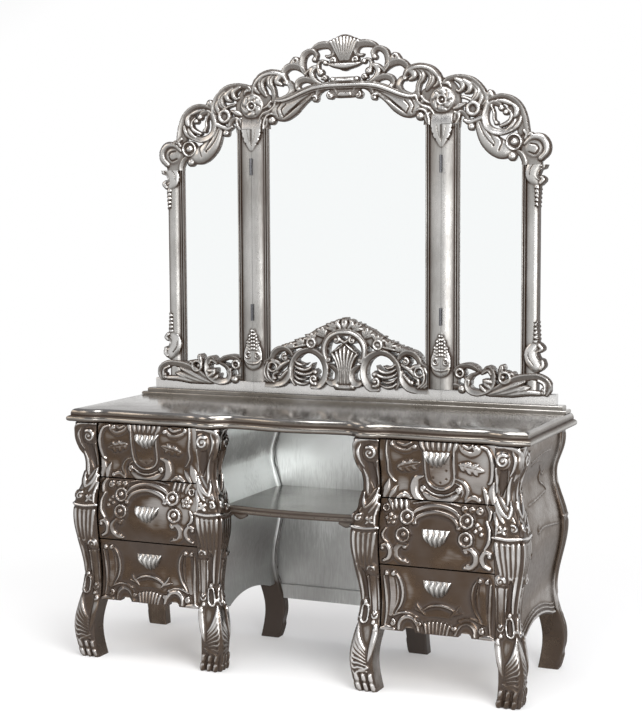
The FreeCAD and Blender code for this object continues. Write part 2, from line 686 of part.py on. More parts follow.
for side, sign in (("left", -1), ("right", 1)):
    seam = "(-seam_half)" if sign < 0 else "seam_half"
    fixed = []
    moving = []
    for level, low in HINGES:
        name = f"{side}_{level}_hinge"
        first = f"{low} + hinge_length / 3"
        second = f"{low} + 2 * hinge_length / 3"
        high = f"{low} + hinge_length"
        fixed.append(fuse(name + "_fixed", leaf_box(name + "_fixed_leaf", seam, -sign, low),
                          cylinder(name + "_lower_knuckle", seam, "hinge_knuckle", low, first),
                          tab(name + "_lower_tab", seam, -sign, low, first),
                          cylinder(name + "_upper_knuckle", seam, "hinge_knuckle", second, high),
                          tab(name + "_upper_tab", seam, -sign, second, high),
                          cylinder(name + "_pin", seam, "hinge_pin", low, high)))
        start = f"{first} + slide_gap"
        stop = f"{second} - slide_gap"
        turning = fuse(name + "_moving", leaf_box(name + "_moving_leaf", seam, sign, low),
                       cylinder(name + "_middle_knuckle", seam, "hinge_knuckle", start, stop),
                       tab(name + "_middle_tab", seam, sign, start, stop))
        moving.append(cut(name + "_bored", turning,
                          cylinder(name + "_bore", seam, "hinge_pin + hinge_pin_gap", low, high)))
    node(group(f"{side}_fixed_halves", *fixed), f"{side}_hinge_fixed_leaves")
    node(group(f"{side}_moving_halves", *moving), f"{side}_hinge_moving_leaves")


# Carved plates are drawn with brush strokes: (x, z, half width) along a line that swells and tapers
class Drawing:
    """Places drawn points on the object: scales across and up, and where the drawing's own datum lies."""

    def __init__(self, across, up, x_from, x_to, z_from, z_to):
        self.across, self.up = across, up
        self.scale = max(across, up)
        self.x_from, self.x_to = x_from, x_to
        self.z_from, self.z_to = z_from, z_to

    def at(self, x, z, y):
        """A drawn point, on a plane across the table."""
        return Vector(self.x_to + (x - self.x_from) * self.across, y, self.z_to + (z - self.z_from) * self.up)

    def stroke(self, proud, *points):
        """One stroke, as a solid that stands proud of the plate's front."""
        centre = Part.BSplineCurve()
        centre.interpolate([self.at(x, z, plate_back) for x, z, w in points])
        left, right = [], []
        for x, z, w in points:
            place = self.at(x, z, plate_back)
            run = centre.tangent(centre.parameter(place))[0]
            across = Vector(-run.z, 0, run.x) * (w * self.scale)
            left.append(place + across)
            right.append(place - across)
        ends = []
        for index, way in ((0, -1), (-1, 1)):
            x, z, w = points[index]
            place = self.at(x, z, plate_back)
            run = centre.tangent(centre.parameter(place))[0]
            ends.append(place + run * (way * w * self.scale))
        left_side, right_side = Part.BSplineCurve(), Part.BSplineCurve()
        left_side.interpolate(left)
        right_side.interpolate(right)
        start = Part.Arc(left[0], ends[0], right[0])
        stop = Part.Arc(left[-1], ends[1], right[-1])
        wire = Part.Wire([c.toShape() for c in (left_side, stop, right_side, start)])
        return Part.Face(wire).extrude(Vector(0, plate_front - proud - plate_back, 0))

    def disc(self, proud, x, z, radius):
        """A round boss."""
        height = plate_back - plate_front + proud
        return Part.makeCylinder(radius * self.scale, height, self.at(x, z, plate_back), Vector(0, -1, 0))

    def ring(self, proud, x, z, radius, half_width):
        """A closed ring."""
        return self.disc(proud, x, z, radius + half_width).cut(self.disc(proud, x, z, radius - half_width))

    def plate(self, proud, *points):
        """A plate with straight edges."""
        wire = Part.makePolygon([self.at(x, z, plate_back) for x, z in points + points[:1]])
        return Part.Face(wire).extrude(Vector(0, plate_front - proud - plate_back, 0))


MIRRORED = Vector(1, 0, 0)


def both(pieces):
    """Pieces and their mirror images about the middle of the table."""
    return pieces + [p.mirror(Vector(0, 0, 0), MIRRORED) for p in pieces]


def carved(pieces):
    """One carved piece from its strokes."""
    return pieces[0].multiFuse(pieces[1:]).removeSplitter()


def slab(x0, x1, y0, y1, z0, z1):
    """A plain block between planes."""
    return Part.makeBox(x1 - x0, y1 - y0, z1 - z0, Vector(x0, y0, z0))


def glass_blank(points, top_points, gap, y0, y1):
    """The outline of a pane: a straight foot and sides, and a curved head; gap widens it all round."""
    (left, foot), (right, foot_again) = points
    head = [Vector(x, y0, z + gap) for x, z in top_points]
    head[0].x = left - gap
    head[-1].x = right + gap
    spline = Part.BSplineCurve()
    spline.interpolate(head)
    low_left = Vector(left - gap, y0, foot - gap)
    low_right = Vector(right + gap, y0, foot - gap)
    straight = [(head[-1], low_right), (low_right, low_left), (low_left, head[0])]
    wire = Part.Wire([spline.toShape()] + [Part.makeLine(a, b) for a, b in straight])
    return Part.Face(wire).extrude(Vector(0, y1 - y0, 0))


def feature(shape, label):
    """A piece whose shape is made in code."""
    piece = doc.addObject("Part::Feature", label + "_shape")
    piece.Shape = shape
    return node(piece, label)


# Panes and their backing boards
DRAWN_SEAM = 331
DRAWN_WING = 315
DRAWN_DROP = 130
DRAWN_SPRING = 1690
DRAWN_BASE = 822
crest_scale = s.seam_half / DRAWN_SEAM
wing_scale = s.wing_width / DRAWN_WING
drop_scale = s.shoulder_drop / DRAWN_DROP
crest = Drawing(crest_scale, crest_scale, 0, 0, DRAWN_SPRING, spring)
foot = Drawing(crest_scale, crest_scale, 0, 0, DRAWN_BASE, base_z)
wing_crest = Drawing(wing_scale, drop_scale, DRAWN_SEAM, s.seam_half, DRAWN_SPRING, spring)
wing_foot = Drawing(wing_scale, crest_scale, DRAWN_SEAM, s.seam_half, DRAWN_BASE, base_z)
wing_gap = s.slide_gap
pane_foot = stile_foot - s.rebate_width
backing_front = glass_front + s.glass_thickness
backing_back = backing_front + s.backing_thickness
past_back = frame_back + s.frame_thickness

centre_side = sight_centre + s.rebate_width
centre_points = ((-centre_side, pane_foot), (centre_side, pane_foot))
head_right = [(60, 1800), (125, 1793), (165, 1766), (205, 1738), (245, 1734), (285, 1730)]
head_right = [(crest.at(x, z, 0).x, crest.at(x, z, 0).z) for x, z in head_right]
centre_head = [(-x, z) for x, z in reversed(head_right)] + head_right
wing_inner = sight_inner - s.rebate_width
wing_outer = sight_outer + s.rebate_width
wing_points = ((wing_inner, pane_foot), (wing_outer, pane_foot))
wing_head = [(377, 1718), (420, 1710), (455, 1705), (480, 1665), (510, 1630), (545, 1612), (600, 1600)]
wing_head = [(wing_crest.at(x, z, 0).x, wing_crest.at(x, z, 0).z) for x, z in wing_head]

feature(glass_blank(centre_points, centre_head, 0, glass_front, backing_front), "centre_glass")
feature(glass_blank(centre_points, centre_head, 0, backing_front, backing_back), "centre_backing")
centre_pocket = glass_blank(centre_points, centre_head, s.glass_gap, glass_front, past_back)
wing_pane = glass_blank(wing_points, wing_head, 0, glass_front, backing_front)
wing_backing = glass_blank(wing_points, wing_head, 0, backing_front, backing_back)
wing_pocket = glass_blank(wing_points, wing_head, s.glass_gap, glass_front, past_back)

# Centre crest: a scallop shell over C scrolls, an arched band and leaf ends beside the rosettes
half_crest = [
    crest.plate(0, (243, 1722), (262, 1738), (275, 1735), (278, 1690), (335, 1690), (335, 1802),
                (300, 1790), (262, 1800), (243, 1795)),
    crest.stroke(3, (0, 1818, 8), (60, 1818, 8), (110, 1813, 8), (150, 1802, 8), (190, 1786, 8),
                 (222, 1777, 8), (246, 1780, 7)),
    crest.stroke(1, (112, 1795, 8), (150, 1776, 16), (188, 1752, 26), (222, 1742, 30), (244, 1745, 24)),
    crest.stroke(2, (0, 1793, 12), (28, 1794, 12), (55, 1800, 18), (80, 1802, 14), (100, 1795, 8)),
    crest.disc(4, 46, 1790, 13),
    crest.disc(4, 104, 1780, 12),
    crest.disc(4, 258, 1717, 12),
    crest.stroke(2, (0, 1838, 9), (40, 1839, 8), (62, 1842, 8), (75, 1846, 9)),
    crest.stroke(3, (52, 1920, 6), (44, 1933, 8), (54, 1945, 9), (76, 1951, 9), (98, 1944, 8),
                 (112, 1937, 6)),
    crest.stroke(3, (100, 1906, 5), (102, 1924, 7), (120, 1936, 7), (140, 1927, 7), (151, 1905, 7),
                 (149, 1882, 7), (137, 1862, 6)),
    crest.stroke(3, (134, 1860, 5), (150, 1878, 8), (172, 1890, 8), (196, 1891, 8), (214, 1878, 7),
                 (217, 1860, 6), (207, 1844, 5)),
    crest.disc(4, 172, 1908, 13),
    crest.stroke(3, (205, 1840, 6), (218, 1857, 9), (238, 1869, 9), (264, 1874, 10), (292, 1866, 11),
                 (314, 1848, 10), (326, 1826, 8), (329, 1800, 6)),
    crest.stroke(1, (228, 1862, 8), (236, 1846, 9), (224, 1836, 6)),
    crest.stroke(2, (252, 1866, 10), (264, 1846, 11), (258, 1826, 7), (252, 1806, 6), (256, 1784, 7)),
    crest.stroke(2, (290, 1858, 12), (298, 1838, 10), (292, 1818, 8), (280, 1806, 5)),
    crest.stroke(2, (206, 1846, 5), (192, 1834, 7), (183, 1817, 8), (190, 1799, 8), (206, 1787, 8),
                 (228, 1784, 7)),
    crest.stroke(2, (108, 1824, 5), (122, 1840, 8), (144, 1846, 9), (162, 1836, 8), (167, 1820, 6),
                 (160, 1806, 5)),
    crest.stroke(2, (58, 1834, 5), (84, 1831, 4), (105, 1841, 6), (116, 1860, 8), (108, 1876, 7),
                 (92, 1882, 4)),
    crest.stroke(2, (86, 1866, 9), (92, 1884, 5), (84, 1899, 5), (66, 1894, 6)),
    crest.stroke(1, (94, 1882, 4), (114, 1881, 4), (137, 1863, 5)),
]
shell = [
    crest.stroke(5, (-60, 1892, 5), (-32, 1883, 8), (0, 1880, 9), (32, 1883, 8), (60, 1892, 5)),
    crest.disc(4, -42, 1901, 13),
    crest.disc(4, 42, 1901, 13),
]
for spoke in range(9):
    lean = math.radians((spoke - 4) * 11)
    tip_x, tip_z = 90 * math.sin(lean) * 0.95, 1886 + 86 * math.cos(lean)
    proud = 5 if spoke % 2 else 3
    half_way = (1886 + tip_z) / 2
    shell.append(crest.stroke(proud, (tip_x * 0.1, 1886, 6), (tip_x * 0.55, half_way, 6.5), (tip_x, tip_z, 7.5)))
rosette = [
    crest.ring(5, 331, 1765, 32, 8),
    crest.ring(4, 331, 1765, 19, 5),
    crest.disc(3, 331, 1765, 25),
    crest.disc(5, 331, 1765, 10),
    crest.stroke(4, (331, 1735, 24), (331, 1700, 20), (331, 1692, 18)),
]
seam_side = s.seam_half - half_gap
centre_space = slab(-seam_side, seam_side, 0, s.top_depth, spring, 2 * spring)
centre_crest = carved(both(half_crest + rosette) + shell)
centre_crest = centre_crest.common(centre_space)
centre_crest = centre_crest.cut(centre_pocket)
feature(centre_crest, "centre_crest")

# Centre bottom rail: a plain base board under pierced scrolls and a fluted cartouche
half_foot = [
    foot.stroke(4, (0, 846, 24), (0, 880, 26), (0, 925, 28), (0, 955, 32), (0, 980, 14), (0, 996, 5)),
    foot.stroke(3, (62, 934, 7), (75, 956, 9), (71, 985, 9), (51, 1011, 9), (24, 1026, 9), (0, 1029, 9)),
    foot.disc(3, 30, 1003, 14),
    foot.stroke(2, (0, 1034, 16), (0, 1058, 11), (0, 1072, 4)),
    foot.stroke(2, (24, 1036, 10), (44, 1050, 12), (58, 1056, 7)),
    foot.stroke(2, (50, 1030, 12), (78, 1036, 14), (96, 1028, 8)),
    foot.stroke(2, (76, 1005, 14), (102, 1012, 16), (128, 1010, 12), (150, 1004, 6)),
    foot.disc(4, 116, 994, 20),
    foot.stroke(2, (130, 985, 12), (165, 984, 12), (196, 980, 10), (226, 978, 5)),
    foot.ring(3, 128, 908, 57, 10),
    foot.stroke(2, (178, 862, 9), (176, 886, 12), (156, 906, 11), (124, 920, 5)),
    foot.stroke(2, (160, 858, 8), (136, 878, 6), (112, 890, 4)),
    foot.stroke(2, (98, 872, 6), (110, 860, 8), (124, 866, 7), (118, 878, 5)),
    foot.ring(2, 48, 888, 20, 8),
    foot.stroke(2, (20, 930, 14), (44, 930, 12), (62, 926, 9)),
    foot.stroke(3, (182, 966, 8), (204, 966, 8), (230, 966, 8), (252, 952, 8), (264, 934, 7),
                (282, 926, 6)),
    foot.disc(3, 214, 940, 16),
    foot.stroke(2, (182, 936, 8), (198, 926, 8), (226, 916, 9), (236, 896, 7), (236, 862, 6)),
    foot.stroke(2, (232, 908, 7), (256, 898, 6), (278, 902, 6)),
    foot.stroke(3, (182, 898, 8), (200, 890, 8), (214, 868, 10), (240, 856, 10), (280, 852, 10),
                (334, 852, 10)),
    foot.stroke(2, (298, 850, 14), (308, 880, 15), (296, 910, 13), (274, 928, 8)),
]
base_board = slab(-seam_side, seam_side, plate_front, frame_back, base_z, stile_foot)
front_space = slab(-sight_centre, sight_centre, 0, glass_front, base_z, spring)
openwork = carved(both(half_foot)).common(front_space)
centre_foot = base_board.fuse(openwork).removeSplitter()
centre_foot = centre_foot.cut(centre_pocket)
feature(centre_foot, "centre_bottom_rail")

# Wing crest: leaf sprays, a large pierced C scroll and an ear beside the outer stile
wing_strokes = [
    wing_crest.plate(0, (327, 1690), (387, 1690), (394, 1712), (410, 1745), (396, 1772), (372, 1795),
                     (345, 1805), (327, 1802)),
    wing_crest.stroke(3, (335, 1806, 5), (350, 1822, 7), (372, 1830, 8), (400, 1830, 9), (428, 1818, 10),
                      (452, 1795, 10), (464, 1768, 10), (466, 1738, 9), (460, 1708, 9)),
    wing_crest.stroke(2, (386, 1826, 8), (394, 1808, 9), (386, 1792, 6)),
    wing_crest.stroke(2, (414, 1816, 11), (424, 1796, 11), (416, 1780, 7)),
    wing_crest.stroke(2, (444, 1794, 11), (448, 1772, 11), (436, 1758, 6)),
    wing_crest.ring(3, 428, 1728, 21, 8),
    wing_crest.stroke(2, (388, 1706, 8), (402, 1704, 8), (420, 1702, 8), (442, 1700, 8), (460, 1704, 9)),
    wing_crest.disc(4, 430, 1682, 11),
    wing_crest.stroke(2, (430, 1690, 7), (444, 1698, 7), (458, 1702, 8)),
    wing_crest.stroke(1, (452, 1706, 8), (464, 1682, 15), (482, 1650, 24), (506, 1625, 27),
                      (534, 1612, 24), (556, 1606, 14)),
    wing_crest.ring(3, 524, 1714, 54, 10),
    wing_crest.stroke(2, (480, 1745, 8), (500, 1744, 9), (522, 1732, 6)),
    wing_crest.stroke(2, (554, 1680, 8), (559, 1706, 8), (544, 1722, 7)),
    wing_crest.stroke(3, (468, 1754, 7), (492, 1766, 8), (528, 1771, 9), (562, 1760, 10), (586, 1734, 10),
                      (598, 1700, 10), (605, 1662, 8)),
    wing_crest.stroke(1, (556, 1764, 8), (580, 1720, 14), (580, 1684, 18), (586, 1650, 18)),
    wing_crest.disc(5, 566, 1630, 26),
    wing_crest.disc(4, 487, 1783, 11),
    wing_crest.disc(4, 614, 1650, 10),
    wing_crest.disc(4, 560, 1585, 12),
    wing_crest.stroke(2, (548, 1606, 10), (570, 1604, 9), (586, 1590, 8), (594, 1572, 8)),
    wing_crest.plate(0, (590, 1560), (650, 1560), (652, 1600), (600, 1650), (584, 1640), (584, 1600)),
    wing_crest.disc(2, 634, 1610, 34),
    wing_crest.stroke(4, (600, 1630, 6), (622, 1642, 7), (650, 1638, 8), (668, 1618, 9), (666, 1592, 9),
                      (648, 1578, 9)),
]
wing_near = s.seam_half + half_gap
wing_end = s.seam_half + s.wing_width
shoulder = spring - s.shoulder_drop
wing_space = slab(wing_near, 2 * wing_end, 0, s.top_depth, base_z, 2 * spring)
inner_stile_space = slab(0, sight_inner, 0, s.top_depth, base_z, spring)
outer_stile_space = slab(sight_outer, 2 * wing_end, 0, s.top_depth, base_z, shoulder)
wing_rosette = [p.mirror(Vector(s.seam_half, 0, 0), MIRRORED) for p in rosette]
wing_top = carved(wing_strokes + wing_rosette)
wing_top = wing_top.common(wing_space).cut(inner_stile_space).cut(outer_stile_space).cut(wing_pocket)

# Wing bottom rail: the same plain base board under leaf scrolls
wing_foot_strokes = [
    wing_foot.stroke(3, (327, 852, 10), (356, 862, 12), (384, 864, 10), (402, 858, 11)),
    wing_foot.disc(3, 396, 912, 15),
    wing_foot.stroke(2, (378, 880, 12), (384, 900, 10), (388, 922, 8), (408, 932, 7), (432, 931, 7),
                     (456, 918, 7)),
    wing_foot.stroke(3, (436, 924, 6), (424, 904, 7), (421, 880, 7), (432, 861, 8), (458, 852, 8),
                     (486, 857, 8), (503, 876, 8), (508, 902, 9), (500, 924, 8), (482, 918, 6)),
    wing_foot.stroke(2, (486, 872, 6), (476, 880, 8), (468, 868, 5)),
    wing_foot.stroke(3, (486, 850, 7), (530, 864, 16), (580, 886, 16), (622, 902, 12), (654, 900, 11),
                     (677, 882, 10), (680, 866, 9), (664, 856, 8)),
    wing_foot.stroke(2, (500, 846, 6), (560, 852, 12), (612, 860, 12), (648, 858, 8)),
    wing_foot.ring(2, 540, 902, 18, 7),
    wing_foot.stroke(2, (530, 912, 8), (533, 930, 9), (534, 937, 8)),
    wing_foot.stroke(2, (552, 910, 7), (590, 914, 7), (640, 912, 7)),
]
wing_base_end = wing_end + s.base_overhang
wing_board = slab(wing_near, wing_base_end, plate_front, frame_back, base_z + wing_gap, stile_foot)
wing_front_space = slab(sight_inner, 2 * wing_end, 0, glass_front, base_z + wing_gap, spring)
outer_stile_zone = slab(sight_outer, wing_end, 0, s.top_depth, stile_foot, spring)
wing_openwork = carved(wing_foot_strokes).common(wing_front_space).cut(outer_stile_zone)
wing_rail = wing_board.fuse(wing_openwork).removeSplitter().cut(wing_pocket)

for side, sign in (("left", -1), ("right", 1)):
    wing_pieces = {"crest": wing_top, "bottom_rail": wing_rail, "glass": wing_pane, "backing": wing_backing}
    for name, shape in wing_pieces.items():
        placed = shape if sign > 0 else shape.mirror(Vector(0, 0, 0), MIRRORED)
        feature(placed, f"{side}_wing_{name}")

# Every object must have rebuilt, and every piece must be sound, before a file is written
doc.recompute()
for obj in doc.Objects:
    if "Invalid" in obj.State or "Error" in obj.State:
        raise RuntimeError(f"{obj.Name} did not rebuild: {obj.State}")
for piece in nodes:
    if piece.Shape.isNull() or not piece.Shape.isValid() or not piece.Shape.Solids:
        raise RuntimeError(f"{piece.Label} is not a sound solid")
for piece in nodes:
    piece.Shape.exportStep(f"parts/{piece.Label}.step")
whole = Part.makeCompound([piece.Shape for piece in nodes]).BoundBox
print(len(nodes), "pieces,", sum(len(piece.Shape.Solids) for piece in nodes), "solids")
print("box", [round(v, 2) for v in (whole.XMin, whole.YMin, whole.ZMin, whole.XMax, whole.YMax, whole.ZMax)])
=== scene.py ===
"""Looks of a kneehole dressing table with a folding triple mirror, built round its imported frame.

Drawings are in millimetres and become metres when a mesh is made; +Z is up and the front looks along -Y.
"""
import math

import bmesh
import bpy
import numpy as np
from mathutils import Matrix, Vector


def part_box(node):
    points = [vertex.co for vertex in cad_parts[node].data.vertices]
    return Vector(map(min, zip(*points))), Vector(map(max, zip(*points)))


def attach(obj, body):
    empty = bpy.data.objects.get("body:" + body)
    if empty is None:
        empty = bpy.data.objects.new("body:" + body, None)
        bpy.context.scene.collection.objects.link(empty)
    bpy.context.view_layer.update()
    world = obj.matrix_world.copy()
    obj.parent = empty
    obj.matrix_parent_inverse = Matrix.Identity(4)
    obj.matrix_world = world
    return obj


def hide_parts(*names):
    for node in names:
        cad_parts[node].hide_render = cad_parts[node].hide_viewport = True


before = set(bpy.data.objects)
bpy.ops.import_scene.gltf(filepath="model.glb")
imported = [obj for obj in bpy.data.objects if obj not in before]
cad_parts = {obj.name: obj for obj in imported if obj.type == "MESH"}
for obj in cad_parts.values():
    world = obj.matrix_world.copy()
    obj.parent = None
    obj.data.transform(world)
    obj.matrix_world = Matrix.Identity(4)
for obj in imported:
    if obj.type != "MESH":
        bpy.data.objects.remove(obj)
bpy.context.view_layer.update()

bl_info = {
    "name": "Silver Leaf Dressing Table",
    "version": (1, 0, 0),
    "blender": (4, 5, 0),
    "location": "View3D > Sidebar > Dressing Table",
    "description": "Carved pieces, finishes and stage for a kneehole dressing table with a triple mirror",
    "category": "Object",
}

MM = 0.001
SIDES = (("left", -1), ("right", 1))
LEVELS = ("upper", "middle", "lower")


# Sizes and colours that a user may change
def length_setting(name, description, default, **limits):
    """A length in metres."""
    return bpy.props.FloatProperty(
        name=name, description=description, default=default, unit="LENGTH", **limits)


def colour_setting(name, description, default):
    """A colour in linear red, green and blue."""
    return bpy.props.FloatVectorProperty(
        name=name, description=description, default=default, subtype="COLOR", size=3, min=0, max=1)


class TableSizes(bpy.types.PropertyGroup):
    """Sizes of the carved pieces."""

    carving_pitch: length_setting(
        "Carving pitch", "Spacing of the points that carry the carving", 0.0018, min=0.001, max=0.01)
    leg_pitch: length_setting(
        "Leg pitch", "Spacing of the points on front legs and side panels", 0.0022, min=0.001, max=0.01)
    plain_pitch: length_setting(
        "Plain pitch", "Spacing of the points on the rear legs", 0.004, min=0.002, max=0.02)
    pull_width: length_setting("Pull width", "Width of a shell pull", 0.088)
    pull_height: length_setting("Pull height", "Height of a shell pull", 0.054)
    pull_reach: length_setting("Pull reach", "How far a shell pull stands out", 0.014)
    pin_size: length_setting("Panel pin", "Diameter of the pins that hold the back panels", 0.006)


class TableFinish(bpy.types.PropertyGroup):
    """Colours of the finishes."""

    bright_silver: colour_setting(
        "Bright silver", "Silver leaf rubbed clean on the high points", (0.78, 0.77, 0.76))
    frame_silver: colour_setting("Frame silver", "Silver leaf of the mirror frame", (0.35, 0.34, 0.325))
    leg_silver: colour_setting("Leg silver", "Glazed silver leaf of the legs", (0.105, 0.08, 0.062))
    case_silver: colour_setting(
        "Case silver", "Glazed silver leaf of the top, shelf and plinth", (0.215, 0.195, 0.17))
    # The outer sides are a browner glaze, painted darker still as painted shade
    side_silver: colour_setting(
        "Side silver", "Brown glazed silver leaf of the outer sides", (0.1, 0.068, 0.044))
    # The kneehole silver is a lighter glaze, and is painted brighter still as painted light where the top
    # shades the kneehole
    knee_silver: colour_setting(
        "Kneehole silver", "Lightly glazed silver leaf inside the kneehole", (0.78, 0.8, 0.79))
    drawer_silver: colour_setting(
        "Drawer silver", "Heavily glazed silver leaf of the drawer fronts", (0.095, 0.066, 0.046))
    glaze: colour_setting("Umber glaze", "Dark glaze left in the hollows", (0.034, 0.02, 0.012))
    drawer_wood: colour_setting("Drawer wood", "Wood of the drawer boxes", (0.42, 0.24, 0.13))
    plain_board: colour_setting(
        "Plain board", "Boards at the back and between the drawers", (0.16, 0.1, 0.065))
    hinge_steel: colour_setting("Hinge steel", "Darkened steel of the hinges", (0.06, 0.055, 0.05))
    floor: colour_setting("Floor", "Colour of the floor", (0.93, 0.93, 0.93))


def sizes():
    return bpy.context.scene.table_sizes


def finish():
    return bpy.context.scene.table_finish


# Node trees
class NodeKit:
    """A node tree, filled through short calls."""

    def __init__(self, tree):
        self.tree = tree

    def add(self, kind, **settings):
        node = self.tree.nodes.new(kind)
        for key, value in settings.items():
            setattr(node, key, value)
        return node

    def put(self, socket, value):
        """Link an output to a socket, or set the socket to a plain value."""
        if isinstance(value, bpy.types.NodeSocket):
            self.tree.links.new(value, socket)
        else:
            socket.default_value = value

    def math(self, operation, a, b=0.0):
        node = self.add("ShaderNodeMath", operation=operation)
        self.put(node.inputs[0], a)
        self.put(node.inputs[1], b)
        return node.outputs[0]

    def total(self, first, *others):
        for other in others:
            first = self.math("ADD", first, other)
        return first

    def product(self, first, *others):
        for other in others:
            first = self.math("MULTIPLY", first, other)
        return first

    def parts(self, vector):
        """The X, Y and Z outputs of a vector."""
        node = self.add("ShaderNodeSeparateXYZ")
        self.put(node.inputs[0], vector)
        return node.outputs

    def ramp(self, value, stops):
        """Colours along a value, from (position, colour) stops."""
        node = self.add("ShaderNodeValToRGB")
        elements = node.color_ramp.elements
        while len(elements) < len(stops):
            elements.new(0.5)
        for element, (at, colour) in zip(elements, stops):
            element.position = at
            element.color = (*colour, 1)
        self.put(node.inputs["Fac"], value)
        return node.outputs["Color"]


class Shading(NodeKit):
    """A material's node tree."""

    def __init__(self, name):
        self.material = bpy.data.materials.new(name)
        self.material.use_nodes = True
        super().__init__(self.material.node_tree)
        self.shader = self.tree.nodes["Principled BSDF"]
        self.place = self.add("ShaderNodeTexCoord").outputs["Object"]

    def coat(self, name, value):
        """Set an input of the surface shader."""
        self.put(self.shader.inputs[name], value)

    def noise(self, scale, detail, stretch=(1, 1, 1), rough=0.55):
        """Noise on the object's own coordinates, about 0.5, stretched along an axis where asked."""
        mapping = self.add("ShaderNodeMapping")
        mapping.inputs["Scale"].default_value = stretch
        self.put(mapping.inputs["Vector"], self.place)
        node = self.add("ShaderNodeTexNoise")
        self.put(node.inputs["Vector"], mapping.outputs["Vector"])
        self.put(node.inputs["Scale"], scale)
        self.put(node.inputs["Detail"], detail)
        self.put(node.inputs["Roughness"], rough)
        return node.outputs["Fac"]

    def spread(self, value, low, high, to_low, to_high):
        """A value moved from one range to another, and held inside it."""
        node = self.add("ShaderNodeMapRange")
        self.put(node.inputs["Value"], value)
        for index, number in enumerate((low, high, to_low, to_high), start=1):
            node.inputs[index].default_value = number
        return node.outputs["Result"]

    def bump(self, height, strength, depth):
        node = self.add("ShaderNodeBump")
        node.inputs["Strength"].default_value = strength
        node.inputs["Distance"].default_value = depth
        self.put(node.inputs["Height"], height)
        self.coat("Normal", node.outputs["Normal"])


# Materials
BLACK = (0, 0, 0)
WHITE = (1, 1, 1)
UPRIGHT = (1, 1, 0.12)
SIDEWAYS = (0.12, 1, 1)


def blend(a, b, share):
    """A colour between two others."""
    return tuple(x + (y - x) * share for x, y in zip(a, b))


def silver_leaf(name, flat, streak=UPRIGHT, cloudy=0.14, polish=0.0, graded=None, gleam=1.0):
    """Silver leaf under a wiped umber glaze: bright on ridges, dark in hollows, streaked by the brush.
    Faces that look down carry painted shade and faces that look up a painted light.

    graded holds two heights in metres and how much darker the lower one is.
    """
    shading = Shading(name)
    bright, glaze = blend(flat, finish().bright_silver, gleam), finish().glaze
    wear_and_painted_light = shading.add("ShaderNodeAttribute", attribute_name="wear_and_painted_light").outputs["Fac"]
    # Painted light and shade: the tone falls fast on faces that look down and rises a little on faces that
    # look up
    facing = shading.parts(shading.add("ShaderNodeNewGeometry").outputs["Normal"])["Z"]
    painted_shade_below, painted_light_above = shading.product(facing, 1.2), shading.product(facing, 0.25)
    painted_light_by_facing = shading.math("MINIMUM", painted_shade_below, painted_light_above)
    cloud = shading.spread(shading.noise(5, 3), 0.3, 0.7, -cloudy, cloudy)
    brush = shading.spread(shading.noise(240, 3, streak), 0.25, 0.75, -0.06, 0.06)
    tone = shading.total(wear_and_painted_light, painted_light_by_facing, cloud, brush)
    if graded:
        low, high, fall = graded
        rise = shading.parts(shading.place)["Z"]
        tone = shading.total(tone, shading.spread(rise, low, high, -fall, 0.0))
    tone = shading.spread(tone, -1, 1, 0, 1)
    shading.coat("Base Color", shading.ramp(tone, [
        (0.12, glaze), (0.38, blend(glaze, flat, 0.45)), (0.5, flat),
        (0.66, blend(flat, bright, 0.5)), (0.9, bright)]))
    shading.coat("Metallic", shading.spread(tone, 0.2, 0.45, 0.1, 1.0))
    gloss = shading.spread(tone, 0.2, 0.6, 0.42, 0.27 - polish)
    stain = shading.spread(shading.noise(70, 4), 0.3, 0.7, -0.05, 0.05)
    shading.coat("Roughness", shading.total(gloss, stain))
    shading.bump(shading.noise(520, 3, streak), 0.16, 0.0006)
    return shading.material


def mirror_glass(name):
    """Silvered glass with a faint haze."""
    shading = Shading(name)
    shading.coat("Metallic", 1.0)
    tints = [(0.3, (0.93, 0.94, 0.94)), (0.7, (0.96, 0.965, 0.965))]
    shading.coat("Base Color", shading.ramp(shading.noise(3, 2), tints))
    shading.coat("Roughness", shading.spread(shading.noise(9, 2), 0.3, 0.7, 0.012, 0.022))
    return shading.material


def wood(name, colour, grain_along):
    """Plain wood with grain along one axis."""
    shading = Shading(name)
    stretch = tuple(0.06 if axis == grain_along else 1.0 for axis in range(3))
    grain = shading.noise(70, 6, stretch, 0.62)
    figure = shading.noise(9, 3, stretch)
    tone = shading.total(shading.product(grain, 0.6), shading.product(figure, 0.4))
    dark, pale = blend(colour, BLACK, 0.45), blend(colour, (0.9, 0.75, 0.6), 0.18)
    shading.coat("Base Color", shading.ramp(tone, [(0.4, dark), (0.5, colour), (0.6, pale)]))
    shading.coat("Roughness", shading.spread(grain, 0.3, 0.7, 0.5, 0.66))
    shading.bump(grain, 0.2, 0.0005)
    return shading.material


def dark_steel(name, colour):
    """Darkened steel with a fine brushed finish."""
    shading = Shading(name)
    shading.coat("Metallic", 1.0)
    brushed = shading.noise(300, 4, (1, 1, 0.1))
    dark, pale = blend(colour, BLACK, 0.3), blend(colour, WHITE, 0.12)
    shading.coat("Base Color", shading.ramp(brushed, [(0.3, dark), (0.7, pale)]))
    shading.coat("Roughness", shading.spread(brushed, 0.3, 0.7, 0.32, 0.5))
    shading.bump(brushed, 0.1, 0.0003)
    return shading.material


